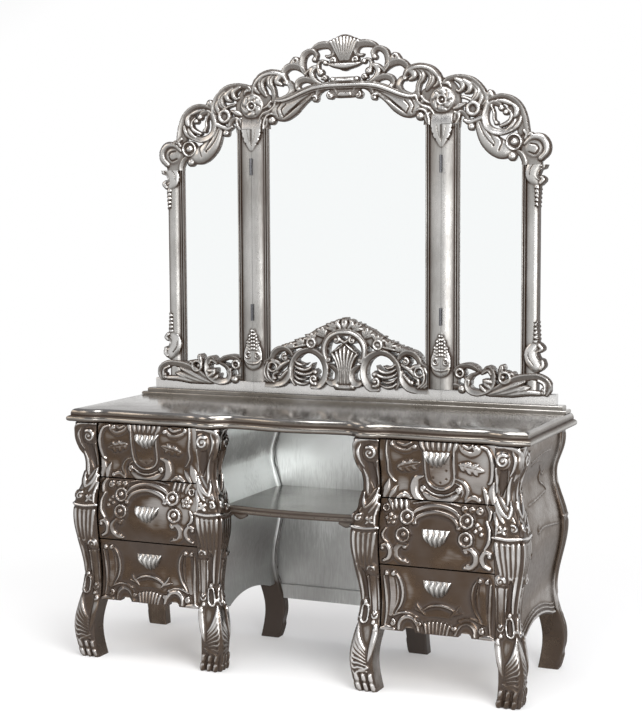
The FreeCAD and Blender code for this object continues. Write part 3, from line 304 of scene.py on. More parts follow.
def material(name):
    """A finish by name, made when it is first asked for."""
    made = bpy.data.materials.get(name)
    if made:
        return made
    tint = finish()
    along_y, along_z = 1, 2
    makers = {
        "frame_silver": lambda: silver_leaf(name, tint.frame_silver),
        "leg_silver": lambda: silver_leaf(
            name, tint.leg_silver, cloudy=0.4, polish=0.08, graded=(0.02, 0.22, 0.22), gleam=0.9),
        "case_silver": lambda: silver_leaf(name, tint.case_silver, SIDEWAYS, polish=0.1, gleam=0.75),
        "side_silver": lambda: silver_leaf(name, tint.side_silver),
        # Painted light brightens the kneehole, and painted shade darkens it towards the bottom
        "knee_silver": lambda: silver_leaf(
            name, tint.knee_silver, cloudy=0.08, polish=-0.1, graded=(0.25, 0.62, 0.3)),
        # Inner rear legs: the kneehole's painted light, a lit copy of the leg silver, darker towards the
        # feet
        "rear_leg_silver": lambda: silver_leaf(
            name, tint.knee_silver, polish=-0.1, graded=(0.12, 0.36, 0.95)),
        "drawer_silver": lambda: silver_leaf(
            name, tint.drawer_silver, SIDEWAYS, cloudy=0.6, polish=0.1, gleam=0.5),
        "pull_silver": lambda: silver_leaf(name, tint.frame_silver, cloudy=0.05, gleam=0.6),
        "mirror_glass": lambda: mirror_glass(name),
        "drawer_wood": lambda: wood(name, tint.drawer_wood, along_y),
        "plain_board": lambda: wood(name, tint.plain_board, along_z),
        "hinge_steel": lambda: dark_steel(name, tint.hinge_steel),
    }
    return makers[name]()


# Drawing kit: smooth lines, forms of a stroke's section, and the carved field
FAR = 50.0  # a cover or a depth beyond any that counts
# Tones of the back points and of the rim's back: painted shade that darkens the backs and the cut walls
BACK_PAINTED_SHADE = -0.8
RIM_PAINTED_SHADE = -0.15
LINE_STEPS = 7  # steps between two points of a stroke
THINNEST = 0.3  # least half width of a stroke


def smooth_line(points):
    """Points (u, v, half width) joined by a smooth line."""
    knots = np.array(points, float)
    padded = np.vstack([2 * knots[0] - knots[1], knots, 2 * knots[-1] - knots[-2]])
    rows = []
    for p0, p1, p2, p3 in zip(padded, padded[1:], padded[2:], padded[3:]):
        for t in np.linspace(0, 1, LINE_STEPS, endpoint=False):
            rows.append(0.5 * (2 * p1 + (p2 - p0) * t + (2 * p0 - 5 * p1 + 4 * p2 - p3) * t ** 2
                               + (3 * p1 - p0 - 3 * p2 + p3) * t ** 3))
    rows.append(knots[-1])
    line = np.array(rows)
    line[:, 2] = np.maximum(line[:, 2], THINNEST)
    return line


# Forms give a share of a stroke's rise: across runs from 0 on the line to 1 at the edge, side from -1 to 1
def half_round(across, side):
    return np.sqrt(np.clip(1 - across ** 2, 0, 1))


def gouged(across, side):
    """A raised rim on each side of a shallow channel."""
    return np.sqrt(np.clip(1 - across ** 8, 0, 1)) * (0.5 + 0.5 * across ** 2)


def strap(across, side):
    """A flat band with rounded edges."""
    return np.clip(1 - across ** 6, 0, 1) ** 0.5


def reeded(across, side):
    """A broad reed between two thin ones."""
    gap = np.exp(-((np.abs(side) - 0.55) / 0.13) ** 2)
    return np.sqrt(np.clip(1 - across ** 4, 0, 1)) * (1 - 0.4 * gap)


def veined(across, side):
    """A leaf's blade: a sunk midrib and a fainter line on each side."""
    rib = 1 - 0.34 * np.exp(-(side / 0.14) ** 2) - 0.16 * np.exp(-((np.abs(side) - 0.52) / 0.12) ** 2)
    return np.sqrt(np.clip(1 - across ** 2.4, 0, 1)) * rib


def fluted(across, side):
    """Soft flutes inside a domed leaf."""
    return np.sqrt(np.clip(1 - across ** 2, 0, 1)) * (0.8 + 0.2 * np.abs(np.sin(2 * math.pi * (side + 1))))


def cupped(across, side):
    """A scroll with a full roll on its left-hand side that falls to a hollow on the other."""
    return np.sqrt(np.clip(1 - across ** 6, 0, 1)) * (0.4 + 0.6 * np.clip((side + 1) / 2, 0, 1) ** 1.5)


def blurred(field, reach):
    """A field averaged over a bell of a given reach in grid steps."""
    radius = max(1, int(math.ceil(2.5 * reach)))
    bell = np.exp(-0.5 * (np.arange(-radius, radius + 1) / reach) ** 2)
    bell /= bell.sum()
    for axis in (0, 1):
        widths = [(radius, radius) if axis == a else (0, 0) for a in (0, 1)]
        padded = np.pad(field, widths, mode="edge")
        length = field.shape[axis]
        field = sum(weight * np.take(padded, range(k, k + length), axis) for k, weight in enumerate(bell))
    return field


class Carving:
    """A carved surface drawn on a flat grid: u across and v up, heights and cover in millimetres.

    cover is the distance inside the cut edge, negative outside. level is the height that counts as neither
    ridge nor hollow, and contrast and base set how far and about what value the wear and painted light
    swing.
    """

    def __init__(self, u_span, v_span, pitch, solid=True):
        step = pitch / MM
        self.u = np.linspace(*u_span, max(2, round((u_span[1] - u_span[0]) / step) + 1))
        self.v = np.linspace(*v_span, max(2, round((v_span[1] - v_span[0]) / step) + 1))
        self.pitch = step
        self.level = 0.0 if solid else 6.5
        self.contrast, self.base = 1.0, 0.0
        self.uu, self.vv = np.meshgrid(self.u, self.v, indexing="ij")
        self.height = np.zeros(self.uu.shape)
        self.cover = np.full(self.uu.shape, FAR if solid else -FAR)

    def patch(self, low, high):
        """The part of the grid inside a box."""
        u0, u1 = np.searchsorted(self.u, (low[0], high[0]))
        v0, v1 = np.searchsorted(self.v, (low[1], high[1]))
        return slice(u0, u1), slice(v0, v1)

    def measure(self, points):
        """A stroke's patch of the grid, and on it across, side, share of the full half width, and cover."""
        line = smooth_line(points)
        reach = line[:, 2].max() + 2 * self.pitch
        spot = self.patch(line[:, :2].min(0) - reach, line[:, :2].max(0) + reach)
        uu, vv = self.uu[spot], self.vv[spot]
        if uu.size == 0:
            return None
        run = line[1:, :2] - line[:-1, :2]
        length = np.hypot(run[:, 0], run[:, 1]) + 1e-9
        du, dv = uu[..., None] - line[:-1, 0], vv[..., None] - line[:-1, 1]
        t = np.clip((du * run[:, 0] + dv * run[:, 1]) / length ** 2, 0, 1)
        gap = np.hypot(du - t * run[:, 0], dv - t * run[:, 1])
        half = line[:-1, 2] + t * (line[1:, 2] - line[:-1, 2])
        best = np.argmin(gap - half, axis=-1)[..., None]
        turn = np.sign(run[:, 0] * dv - run[:, 1] * du)
        gap, half, turn = (np.take_along_axis(a, best, -1)[..., 0] for a in (gap, half, turn))
        return spot, gap / half, turn * gap / half, half / line[:, 2].max(), half - gap

    def stroke(self, points, rise, form=half_round, floor=0.0):
        """A raised stroke along a smooth line of (u, v, half width)."""
        found = self.measure(points)
        if found is None:
            return
        spot, across, side, share, cover = found
        raised = floor + rise * share ** 0.5 * form(np.minimum(across, 1), side)
        raised = np.where(across < 1, raised, -FAR)
        self.height[spot] = np.maximum(self.height[spot], raised)
        self.cover[spot] = np.maximum(self.cover[spot], cover)

    def groove(self, points, depth):
        """A sunk line."""
        found = self.measure(points)
        if found is None:
            return
        spot, across, side = found[:3]
        self.height[spot] -= depth * half_round(np.minimum(across, 1), side)

    def boss(self, u, v, radius, rise, floor=0.0):
        """A round dome."""
        self.stroke([(u - 0.1, v, radius), (u + 0.1, v, radius)], rise, half_round, floor)

    def dimple(self, u, v, radius, depth):
        """A round hollow."""
        self.groove([(u - 0.1, v, radius), (u + 0.1, v, radius)], depth)

    def ring(self, u, v, radius, half, rise):
        """A closed ring."""
        turns = np.linspace(0, 2 * math.pi, 17)
        self.stroke([(u + radius * math.cos(a), v + radius * math.sin(a), half) for a in turns], rise)

    def spiral(self, u, v, radius, half, rise, start, way, turns):
        """A volute that winds in to a small eye, from a start in degrees, left-handed where way is -1."""
        points = []
        for share in np.linspace(0, 1, int(12 * turns)):
            angle = math.radians(start + way * 360 * turns * share)
            reach = (radius - half) * (1 - 0.82 * share)
            width = half * (1 - 0.45 * share)
            points.append((u + reach * math.cos(angle), v + reach * math.sin(angle), width))
        self.stroke(points, rise)
        self.boss(u, v, half * 0.9, rise * 1.05)

    def leaf(self, points, rise, lobes):
        """An acanthus leaf: a veined blade with lobes that fork forward on both sides."""
        line = smooth_line(points)
        self.stroke([(u, v, 0.5 * w) for u, v, w in points], rise, veined)
        count = len(line) - 1
        for k in range(lobes):
            index = int((k + 0.35) / lobes * count)
            u, v, w = line[index]
            run = line[min(index + 1, count)] - line[max(index - 1, 0)]
            run = run[:2] / (np.hypot(*run[:2]) + 1e-9)
            for way in (-1, 1):
                out = np.array([-run[1], run[0]]) * way
                middle = np.array([u, v]) + 0.45 * w * run + 0.55 * w * out
                tip = np.array([u, v]) + 1.05 * w * run + 0.98 * w * out
                self.stroke([(u, v, 0.34 * w), (*middle, 0.36 * w), (*tip, 0.13 * w)], 0.86 * rise)
        self.groove([(u, v, max(0.9, 0.07 * w)) for u, v, w in points], 0.22 * rise)

    def palm(self, u, v, tips, rise, half):
        """A jagged leaf: pointed lobes of several lengths that bend up from one root."""
        for east, north in tips:
            self.stroke([(u, v, 0.6 * half), (u + 0.3 * east, v + 0.5 * north, half),
                         (u + 0.7 * east, v + 0.85 * north, 0.8 * half),
                         (u + east, v + north, 0.25 * half)], rise, veined)

    def notch(self, u, v, radius):
        """A round hole or bite out of the surface."""
        self.cover = np.minimum(self.cover, np.hypot(self.uu - u, self.vv - v) - radius)

    def averaged(self, reach):
        """The heights averaged over a reach in grid steps; what lies outside the cover doesn't count."""
        inside = (self.cover > 0).astype(float)
        return blurred(self.height * inside, reach) / (blurred(inside, reach) + 1e-6)

    def eased_height(self):
        """The heights with their sharpest steps worn soft."""
        return self.averaged(0.7)

    def wear_and_painted_light(self):
        """Ridges above 0 and hollows below, from -1 to 1; the cut edge is painted dark as shade."""
        inside = self.cover > 0
        fine, broad = ((self.height - self.averaged(reach / self.pitch)) * inside for reach in (2.6, 8.0))
        ridge = 0.07 * np.maximum(fine, 0) + 0.04 * np.maximum(broad, 0)
        hollow = 0.5 * np.minimum(fine, 0) + 0.13 * np.minimum(broad, 0)
        raised = np.clip(0.025 * (self.height - self.level) * inside, -0.2, 0.18)
        # Painted shade: a dark band just inside every cut edge
        painted_edge_shade = -0.95 * np.exp(-(np.maximum(self.cover, 0) / 2.2) ** 2)
        return np.clip(self.contrast * blurred(ridge + hollow + raised, 0.7) + painted_edge_shade + self.base, -1, 1)


def normals_of(points):
    """Unit normals of a grid of points, by finite differences."""
    across = np.gradient(points, axis=0)
    upward = np.gradient(points, axis=1)
    normal = np.cross(across, upward)
    return normal / (np.linalg.norm(normal, axis=-1, keepdims=True) + 1e-9)


def tube_faces(index):
    """Faces of a tube and of its two ends, from point numbers with a ring in each row."""
    after = np.roll(index, -1, axis=1)
    faces = np.stack([index[:-1], after[:-1], after[1:], index[1:]], -1).reshape(-1, 4).tolist()
    faces.append(index[0, ::-1].tolist())
    faces.append(index[-1].tolist())
    return faces


def make_piece(name, points, faces, wear_and_painted_light, finish_name, sharp_from=40):
    """An object from points in millimetres, with its wear and painted light kept on the points."""
    mesh = bpy.data.meshes.new(name)
    mesh.from_pydata([tuple(p) for p in (np.asarray(points) * MM).tolist()], [], faces)
    layer = mesh.attributes.new("wear_and_painted_light", "FLOAT", "POINT")
    layer.data.foreach_set("value", np.asarray(wear_and_painted_light, np.float32))
    shell = bmesh.new()
    shell.from_mesh(mesh)
    bmesh.ops.recalc_face_normals(shell, faces=shell.faces)
    shell.to_mesh(mesh)
    shell.free()
    mesh.shade_smooth()
    mesh.set_sharp_from_angle(angle=math.radians(sharp_from))
    mesh.materials.append(material(finish_name))
    piece = bpy.data.objects.new(name, mesh)
    bpy.context.scene.collection.objects.link(piece)
    return piece


def settle(piece, body, slot, *nodes):
    """Ride on a body and stand for CAD nodes; slot is not used."""
    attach(piece, body)
    if nodes:
        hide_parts(*nodes)


def plate_piece(name, carving, front, back, finish_name, open_work=False):
    """A closed piece from a carving: front points, back points, and walls along every edge of the cover."""
    count_u, count_v = carving.uu.shape
    index = np.arange(count_u * count_v).reshape(count_u, count_v)
    corners = np.stack([index[:-1, :-1], index[1:, :-1], index[1:, 1:], index[:-1, 1:]], -1)
    cover = carving.cover.ravel()
    inside = (cover[corners].mean(-1) > 0) & (cover[corners].max(-1) >= 0.5 * carving.pitch)
    quads = corners[inside].reshape(-1, 4)
    edges = np.concatenate([quads[:, [k, (k + 1) % 4]] for k in range(4)])
    keys = {(a, b) for a, b in edges.tolist()}
    rim = [(a, b) for a, b in edges.tolist() if (b, a) not in keys]
    front = front.reshape(-1, 3)
    back = back.reshape(-1, 3)
    used = np.unique(quads)
    place = np.full(count_u * count_v, -1)
    place[used] = np.arange(len(used))
    points = [front[used]]
    wear_and_painted_light = [carving.wear_and_painted_light().ravel()[used]]
    faces = place[quads].tolist()
    total = len(used)
    if open_work:
        back_place = place + total
        points.append(back[used])
        wear_and_painted_light.append(np.full(len(used), BACK_PAINTED_SHADE))
        faces += (place[quads[:, ::-1]] + total).tolist()
    else:
        edge_points = np.unique(np.array(rim))
        back_place = np.full(count_u * count_v, -1)
        back_place[edge_points] = np.arange(total, total + len(edge_points))
        points.append(back[edge_points])
        wear_and_painted_light.append(np.full(len(edge_points), RIM_PAINTED_SHADE))
        follow = dict(rim)
        start = rim[0][0]
        loop = [start]
        while follow[loop[-1]] != start:
            loop.append(follow[loop[-1]])
        faces.append([int(back_place[i]) for i in reversed(loop)])
    faces += [[int(place[b]), int(place[a]), int(back_place[a]), int(back_place[b])] for a, b in rim]
    return make_piece(name, np.concatenate(points), faces, np.concatenate(wear_and_painted_light), finish_name)


def snapped(carving):
    """The grid's points, with those along the cut edges moved on to the edge."""
    slope_u, slope_v = np.gradient(carving.cover, carving.pitch)
    steep = np.maximum(np.hypot(slope_u, slope_v), 0.5)
    move = np.where(rim_zone(carving), carving.cover, 0) / steep ** 2
    return carving.uu - move * slope_u, carving.vv - move * slope_v


def rim_zone(carving):
    """The points that are moved on to a cut edge: those just outside it and the nearest inside."""
    return (carving.cover > -carving.pitch) & (carving.cover < 0.5 * carving.pitch)


def flat_plate(name, carving, y_edge, y_back, mirror=False):
    """A pierced plate of the mirror frame: it stands in an upright plane and is carved on its front."""
    uu, vv = snapped(carving)
    x = -uu if mirror else uu
    front = np.stack([x, y_edge - carving.eased_height(), vv], -1)
    back = np.stack([x, np.full(uu.shape, float(y_back)), vv], -1)
    return plate_piece(name, carving, front, back, "frame_silver", open_work=True)


# Shapes that several pieces share
def eased(points):
    """A smooth function through (height, value) points, with natural ends."""
    x, y = (np.array(c, float) for c in zip(*points))
    step, rise = np.diff(x), np.diff(y)
    size = len(x)
    matrix, target = np.eye(size), np.zeros(size)
    for k in range(1, size - 1):
        matrix[k, k - 1:k + 2] = step[k - 1], 2 * (step[k - 1] + step[k]), step[k]
        target[k] = 6 * (rise[k] / step[k] - rise[k - 1] / step[k - 1])
    bend = np.linalg.solve(matrix, target)

    def value(at):
        at = np.clip(np.asarray(at, float), x[0], x[-1])
        k = np.clip(np.searchsorted(x, at) - 1, 0, size - 2)
        a, b = x[k + 1] - at, at - x[k]
        h = step[k]
        return ((bend[k] * a ** 3 + bend[k + 1] * b ** 3) / (6 * h) + (y[k] / h - bend[k] * h / 6) * a
                + (y[k + 1] / h - bend[k + 1] * h / 6) * b)

    return value


# Sizes of the CAD pieces that several carvings share; a leg's width, depth and hollow go by height
LEG_TOP = 760
LEG_WIDTH = eased([(0, 67), (105, 86), (250, 59), (485, 84), (640, 55), (700, 73), (760, 77)])
LEG_DEPTH = eased([(0, 62), (105, 75), (250, 52), (485, 73), (640, 53), (700, 65), (760, 64)])
LEG_HOLLOW = eased([(0, 5), (105, 15), (190, 0)])
LEG_FACE = 75  # width of one side of a leg in its drawing
PEDESTAL = 480  # from the middle of the table to the middle of a pedestal
OPENING = 178  # from there to the legs
FRONT_PLANE = -175  # where the front legs start
REAR_PLANE = 190  # where the rear legs start
REAR_TRIM = 21  # how much shallower the rear legs are
FRONT_INSET = 8  # how far the drawer fronts stand behind the legs
SEAM = 331  # from the middle to the hinge seam of a wing
SEAM_GAP = 0.4  # running gap of the wings


# Geometry Nodes recipes
class Recipe(NodeKit):
    """A Geometry Nodes tree."""

    def __init__(self, name, with_points=False):
        super().__init__(bpy.data.node_groups.new(name, "GeometryNodeTree"))
        if with_points:
            self.tree.interface.new_socket("Points", in_out="INPUT", socket_type="NodeSocketGeometry")
        self.tree.interface.new_socket("Geometry", in_out="OUTPUT", socket_type="NodeSocketGeometry")
        self.entry = self.add("NodeGroupInput")
        self.exit = self.add("NodeGroupOutput")

    def size(self, name, default):
        """A named input of the tree."""
        socket = self.tree.interface.new_socket(name, in_out="INPUT", socket_type="NodeSocketFloat")
        socket.default_value = default
        return self.entry.outputs[name]

    def combine(self, x, y, z):
        node = self.add("ShaderNodeCombineXYZ")
        for socket, value in zip(node.inputs, (x, y, z)):
            self.put(socket, value)
        return node.outputs[0]

    def finish(self, geometry, finish_name):
        """Realize, set the material and close the tree."""
        real = self.add("GeometryNodeRealizeInstances")
        paint = self.add("GeometryNodeSetMaterial")
        paint.inputs["Material"].default_value = material(finish_name)
        self.put(real.inputs["Geometry"], geometry)
        self.put(paint.inputs["Geometry"], real.outputs["Geometry"])
        self.put(self.exit.inputs["Geometry"], paint.outputs["Geometry"])

    def made(self, name, points=(), **values):
        """A plain object from the tree, with named inputs set by their identifiers."""
        seed = bpy.data.meshes.new(name + "_seed")
        seed.from_pydata(list(points), [], [])
        carrier = bpy.data.objects.new(name + "_seed", seed)
        bpy.context.scene.collection.objects.link(carrier)
        modifier = carrier.modifiers.new("recipe", "NODES")
        modifier.node_group = self.tree
        for item in self.tree.interface.items_tree:
            if item.name in values:
                modifier[item.identifier] = float(values[item.name])
        graph = bpy.context.evaluated_depsgraph_get()
        mesh = bpy.data.meshes.new_from_object(carrier.evaluated_get(graph))
        bpy.data.objects.remove(carrier)
        bpy.data.meshes.remove(seed)
        piece = bpy.data.objects.new(name, mesh)
        mesh.name = name
        bpy.context.scene.collection.objects.link(piece)
        return piece


def shell_recipe():
    """A scallop shell: plump lobes that hang from a straight upper edge and fan out as they fall."""
    recipe = Recipe("scallop_shell")
    width = recipe.size("Width", 0.088)
    height = recipe.size("Height", 0.054)
    reach = recipe.size("Reach", 0.014)
    lobes = recipe.size("Lobes", 5)
    grid = recipe.add("GeometryNodeMeshGrid")
    for name, value in (("Size X", 1.0), ("Size Y", 1.0), ("Vertices X", 91), ("Vertices Y", 29)):
        grid.inputs[name].default_value = value
    place = recipe.parts(recipe.add("GeometryNodeInputPosition").outputs[0])
    turn = recipe.product(place["X"], 2.0)
    fall = recipe.total(place["Y"], 0.5)
    lobe = recipe.math("ABSOLUTE", recipe.math("COSINE", recipe.product(turn, math.pi / 2, lobes)))
    spread = recipe.math("SUBTRACT", 1.0, recipe.product(fall, fall, 0.26))
    east = recipe.product(turn, spread, recipe.product(width, 0.5))
    bowl = recipe.math("SQRT", recipe.math("SUBTRACT", 1.0, recipe.product(turn, turn, 0.72)))
    scallop = recipe.total(recipe.product(recipe.math("POWER", lobe, 0.6), 0.16), 0.84)
    drop = recipe.product(bowl, scallop, recipe.product(height, fall))
    north = recipe.product(drop, -1.0)
    arch = recipe.math("SINE", recipe.product(recipe.math("POWER", fall, 1.1), math.pi))
    arch = recipe.math("POWER", recipe.math("MAXIMUM", arch, 0.0), 0.75)
    swell = recipe.total(recipe.product(recipe.math("POWER", lobe, 0.7), 0.55), 0.45)
    ends = recipe.math("SUBTRACT", 1.0, recipe.math("POWER", recipe.math("ABSOLUTE", turn), 18.0))
    rise = recipe.product(arch, swell, recipe.product(reach, ends))
    shells = []
    for depth in (recipe.product(rise, -1.0), 0.0):
        moved = recipe.add("GeometryNodeSetPosition")
        recipe.put(moved.inputs["Geometry"], grid.outputs["Mesh"])
        recipe.put(moved.inputs["Position"], recipe.combine(east, depth, north))
        shells.append(moved.outputs["Geometry"])
    front, back = shells
    flip = recipe.add("GeometryNodeFlipFaces")
    recipe.put(flip.inputs["Mesh"], back)
    store = recipe.add("GeometryNodeStoreNamedAttribute", data_type="FLOAT", domain="POINT")
    recipe.put(store.inputs["Geometry"], front)
    store.inputs["Name"].default_value = "wear_and_painted_light"
    # Painted highlight along the middle of each lobe, with painted shade in the valleys and towards the
    # upper and lower edges
    gleam = recipe.math("SUBTRACT", recipe.product(arch, swell, 1.5), 1.3)
    recipe.put(store.inputs["Value"], gleam)
    join = recipe.add("GeometryNodeJoinGeometry")
    recipe.put(join.inputs["Geometry"], flip.outputs["Mesh"])
    recipe.put(join.inputs["Geometry"], store.outputs["Geometry"])
    merge = recipe.add("GeometryNodeMergeByDistance")
    merge.inputs["Distance"].default_value = 0.00002
    recipe.put(merge.inputs["Geometry"], join.outputs["Geometry"])
    recipe.finish(merge.outputs["Geometry"], "pull_silver")
    return recipe


def pin_recipe():
    """Small domed pin heads set on points, facing the back."""
    recipe = Recipe("panel_pins", with_points=True)
    diameter = recipe.size("Diameter", 0.006)
    head = recipe.add("GeometryNodeMeshUVSphere")
    head.inputs["Segments"].default_value = 10
    head.inputs["Rings"].default_value = 6
    recipe.put(head.inputs["Radius"], recipe.product(diameter, 0.5))
    place = recipe.add("GeometryNodeInstanceOnPoints")
    recipe.put(place.inputs["Points"], recipe.entry.outputs["Points"])
    recipe.put(place.inputs["Instance"], head.outputs["Mesh"])
    place.inputs["Scale"].default_value = (1, 0.45, 1)
    recipe.finish(place.outputs["Instances"], "hinge_steel")
    return recipe


# Mirror frame: depths of its layers, widths, then heights
PLATE_EDGE = 234
PLATE_BACK = 246
FOOT_EDGE = 226
FOOT_BACK = 237.5
STILE_EDGE = 231
STILE_BACK = 251.5
REBATE_FLOOR = 237.6
BOARD_BACK = 252
STILE_WIDTH = 56
REBATE = 10.5
FOOT_LAP = 12  # how far a foot runs over the stile beside it
WING_WIDTH = 315
BOARD_END = 705
BASE_Z = 822
STILE_FOOT = 856
SPRING = 1690
SHOULDER = 1560


def mirrored(carving):
    """A whole carving from its right half, which starts at the middle."""
    whole = Carving.__new__(Carving)
    whole.u = np.concatenate([-carving.u[:0:-1], carving.u])
    whole.v, whole.pitch, whole.level = carving.v, carving.pitch, carving.level
    whole.contrast, whole.base = carving.contrast, carving.base
    whole.uu, whole.vv = np.meshgrid(whole.u, whole.v, indexing="ij")
    whole.height = np.concatenate([carving.height[:0:-1], carving.height])
    whole.cover = np.concatenate([carving.cover[:0:-1], carving.cover])
    return whole


def rosette(c):
    """The petalled flower over a hinge seam, on a leaf plate."""
    c.stroke([(SEAM, 1806, 24), (SEAM, 1780, 54), (SEAM, 1756, 60), (SEAM, 1722, 48), (SEAM, 1686, 40)],
             4, strap)
    across = STILE_WIDTH - np.abs(c.uu - SEAM)
    melt = 12 * np.clip((c.vv - SPRING) / 44, 0, 1) ** 1.5
    c.height = np.maximum(c.height, np.where(across > 0, seam_section(across) + 3 - melt, 0))
    c.cover = np.maximum(c.cover, np.minimum(across - 0.3 * np.abs(c.vv - SPRING), 1722 - c.vv))
    c.height = np.maximum(c.height, np.where(across > 20, 15 - 1.25 * melt, 0))
    for way in (-1, 1):
        c.stroke([(SEAM + way * 40, 1738, 6), (SEAM + way * 56, 1744, 9), (SEAM + way * 74, 1752, 5)],
                 7, half_round, 2)
        c.stroke([(SEAM + way * 40, 1726, 4), (SEAM + way * 54, 1720, 6), (SEAM + way * 54, 1704, 5),
                  (SEAM + way * 44, 1690, 4)], 6, half_round, 3)
    c.boss(SEAM, 1765, 42, 6, 4)
    c.ring(SEAM, 1765, 36, 5, 9)
    for petal in range(6):
        turn = math.radians(20 + 60 * petal)
        bend = turn + 0.5
        c.stroke([(SEAM + 13 * math.cos(turn), 1765 + 13 * math.sin(turn), 7),
                  (SEAM + 24 * math.cos(turn), 1765 + 24 * math.sin(turn), 11),
                  (SEAM + 30 * math.cos(bend), 1765 + 30 * math.sin(bend), 7)], 8, half_round, 5)
    c.ring(SEAM, 1765, 14, 5, 14)
    c.dimple(SEAM, 1765, 9, 6)
    c.boss(SEAM, 1765, 6, 5, 6)


def centre_crest(pitch):
    """Right half of the crest: shell, C scrolls, arched band and leaf end."""
    c = Carving((0, SEAM - SEAM_GAP), (SPRING, 1984), pitch, solid=False)
    rosette(c)
    c.stroke([(300, 1688, 32), (302, 1720, 32), (298, 1760, 30), (280, 1785, 20)], 4, strap)
    c.stroke([(0, 1893, 26), (0, 1920, 38), (0, 1936, 47)], 6, strap)
    for k in range(-4, 5):
        lean = k / 4
        tip = 1972 - 12 * lean * lean
        c.stroke([(15 * lean, 1900, 2.5), (29 * lean, 1930, 5), (42 * lean, 1956, 7),
                  (48 * lean, tip, 6.5)], 12, half_round, 2)
    c.stroke([(-58, 1892, 4), (-34, 1886, 9), (0, 1883, 12), (34, 1886, 9), (58, 1892, 4)], 14)
    c.spiral(40, 1901, 16, 6, 13, 200, -1, 1.2)
    c.stroke([(50, 1914, 5), (41, 1922, 7), (42, 1938, 10), (56, 1950, 12), (80, 1951, 12), (100, 1945, 10),
              (114, 1936, 5)], 13, cupped)
    c.stroke([(44, 1920, 4), (56, 1914, 6), (64, 1917, 4)], 9)
    c.stroke([(102, 1908, 7), (100, 1922, 9), (110, 1932, 9), (126, 1932, 10), (142, 1920, 11),
              (148, 1898, 10), (145, 1878, 9), (136, 1862, 6)], 13, cupped)
    c.boss(104, 1907, 10, 11)
    c.stroke([(134, 1858, 5), (148, 1876, 10), (168, 1887, 12), (192, 1888, 12), (210, 1876, 11),
              (215, 1858, 8), (206, 1843, 5)], 13, cupped)
    c.stroke([(160, 1896, 8), (172, 1908, 12), (186, 1900, 8)], 11)
    c.dimple(172, 1906, 5, 4)
    c.stroke([(204, 1842, 7), (218, 1860, 12), (240, 1868, 13), (266, 1869, 13), (292, 1861, 13),
              (312, 1844, 12), (324, 1824, 9), (329, 1800, 6)], 13, reeded)
    c.stroke([(216, 1862, 9), (234, 1853, 13), (238, 1840, 11), (224, 1832, 7)], 12, half_round, 1)
    c.stroke([(244, 1866, 10), (262, 1852, 14), (264, 1834, 12), (254, 1818, 9), (250, 1796, 8),
              (254, 1776, 6)], 12, veined)
    c.stroke([(276, 1862, 11), (296, 1844, 14), (296, 1824, 13), (286, 1808, 10), (280, 1798, 6)],
             12, veined)
    c.stroke([(306, 1850, 9), (320, 1832, 9), (316, 1816, 8), (304, 1806, 5)], 10)
    c.stroke([(210, 1840, 8), (194, 1834, 10), (184, 1816, 11), (192, 1797, 11), (210, 1787, 10),
              (234, 1783, 8), (246, 1796, 5), (248, 1816, 4)], 12, cupped)
    c.boss(206, 1836, 9, 11)
    c.stroke([(100, 1822, 5), (114, 1837, 9), (138, 1845, 11), (160, 1838, 11), (166, 1822, 9),
              (156, 1810, 5)], 12, cupped)
    c.boss(160, 1814, 9, 11)
    c.stroke([(58, 1832, 5), (84, 1831, 6), (106, 1843, 9), (116, 1862, 11), (108, 1878, 10),
              (90, 1884, 4)], 11)
    c.spiral(68, 1845, 14, 5.5, 12, 0, 1, 1.2)
    c.stroke([(84, 1862, 11), (92, 1878, 7), (90, 1896, 6), (76, 1902, 5), (66, 1894, 6)], 11)
    c.boss(84, 1864, 13, 12)
    c.boss(67, 1895, 9, 11)
    c.stroke([(92, 1884, 4), (114, 1882, 5), (138, 1862, 5)], 9)
    c.stroke([(0, 1838, 11), (30, 1838, 11), (42, 1839, 9)], 8, strap)
    c.stroke([(-28, 1838, 4), (0, 1837, 4.5), (28, 1838, 4)], 4, half_round, 8)
    c.boss(42, 1841, 9, 12)
    c.stroke([(0, 1822, 12), (60, 1822, 12), (110, 1816, 13), (150, 1803, 13), (190, 1787, 12),
              (222, 1779, 11), (244, 1781, 8)], 13, reeded)
    c.stroke([(0, 1797, 15), (22, 1797, 15), (42, 1799, 14)], 5, strap)
    c.stroke([(-18, 1793, 7), (0, 1792, 7), (18, 1793, 7)], 4, half_round, 5)
    c.stroke([(30, 1796, 5), (40, 1812, 8), (58, 1818, 9), (78, 1814, 10), (92, 1802, 9), (97, 1787, 6)],
             12, cupped)
    c.spiral(48, 1790, 16, 6, 13, 60, -1, 1.2)
    c.spiral(104, 1781, 16, 6, 13, 60, 1, 1.2)
    c.stroke([(108, 1797, 8), (148, 1779, 17), (186, 1755, 27), (220, 1744, 32), (242, 1748, 22)],
             11, half_round, 1)
    for shift in (0, 9, 18):
        c.groove([(118 + shift, 1796 - shift, 1.6), (150 + shift, 1778 - shift, 2.6),
                  (178 + shift, 1756 - shift, 2.6), (198 + shift, 1742 - shift, 1.6)], 3.5)
    c.groove([(206, 1768, 1.8), (222, 1750, 3), (214, 1728, 2)], 4)
    c.groove([(224, 1774, 1.8), (238, 1752, 2.6), (232, 1728, 1.8)], 4)
    c.boss(258, 1717, 15, 13)
    c.stroke([(244, 1734, 5), (262, 1738, 6), (278, 1729, 6), (287, 1708, 6), (289, 1688, 6)], 12)
    c.stroke([(243, 1780, 6), (252, 1760, 6), (268, 1748, 6), (290, 1740, 6), (306, 1716, 4),
              (308, 1688, 4)], 10)
    c.stroke([(262, 1778, 6), (274, 1764, 6), (290, 1756, 4)], 10)
    c.boss(266, 1762, 9, 9)
    return mirrored(c)


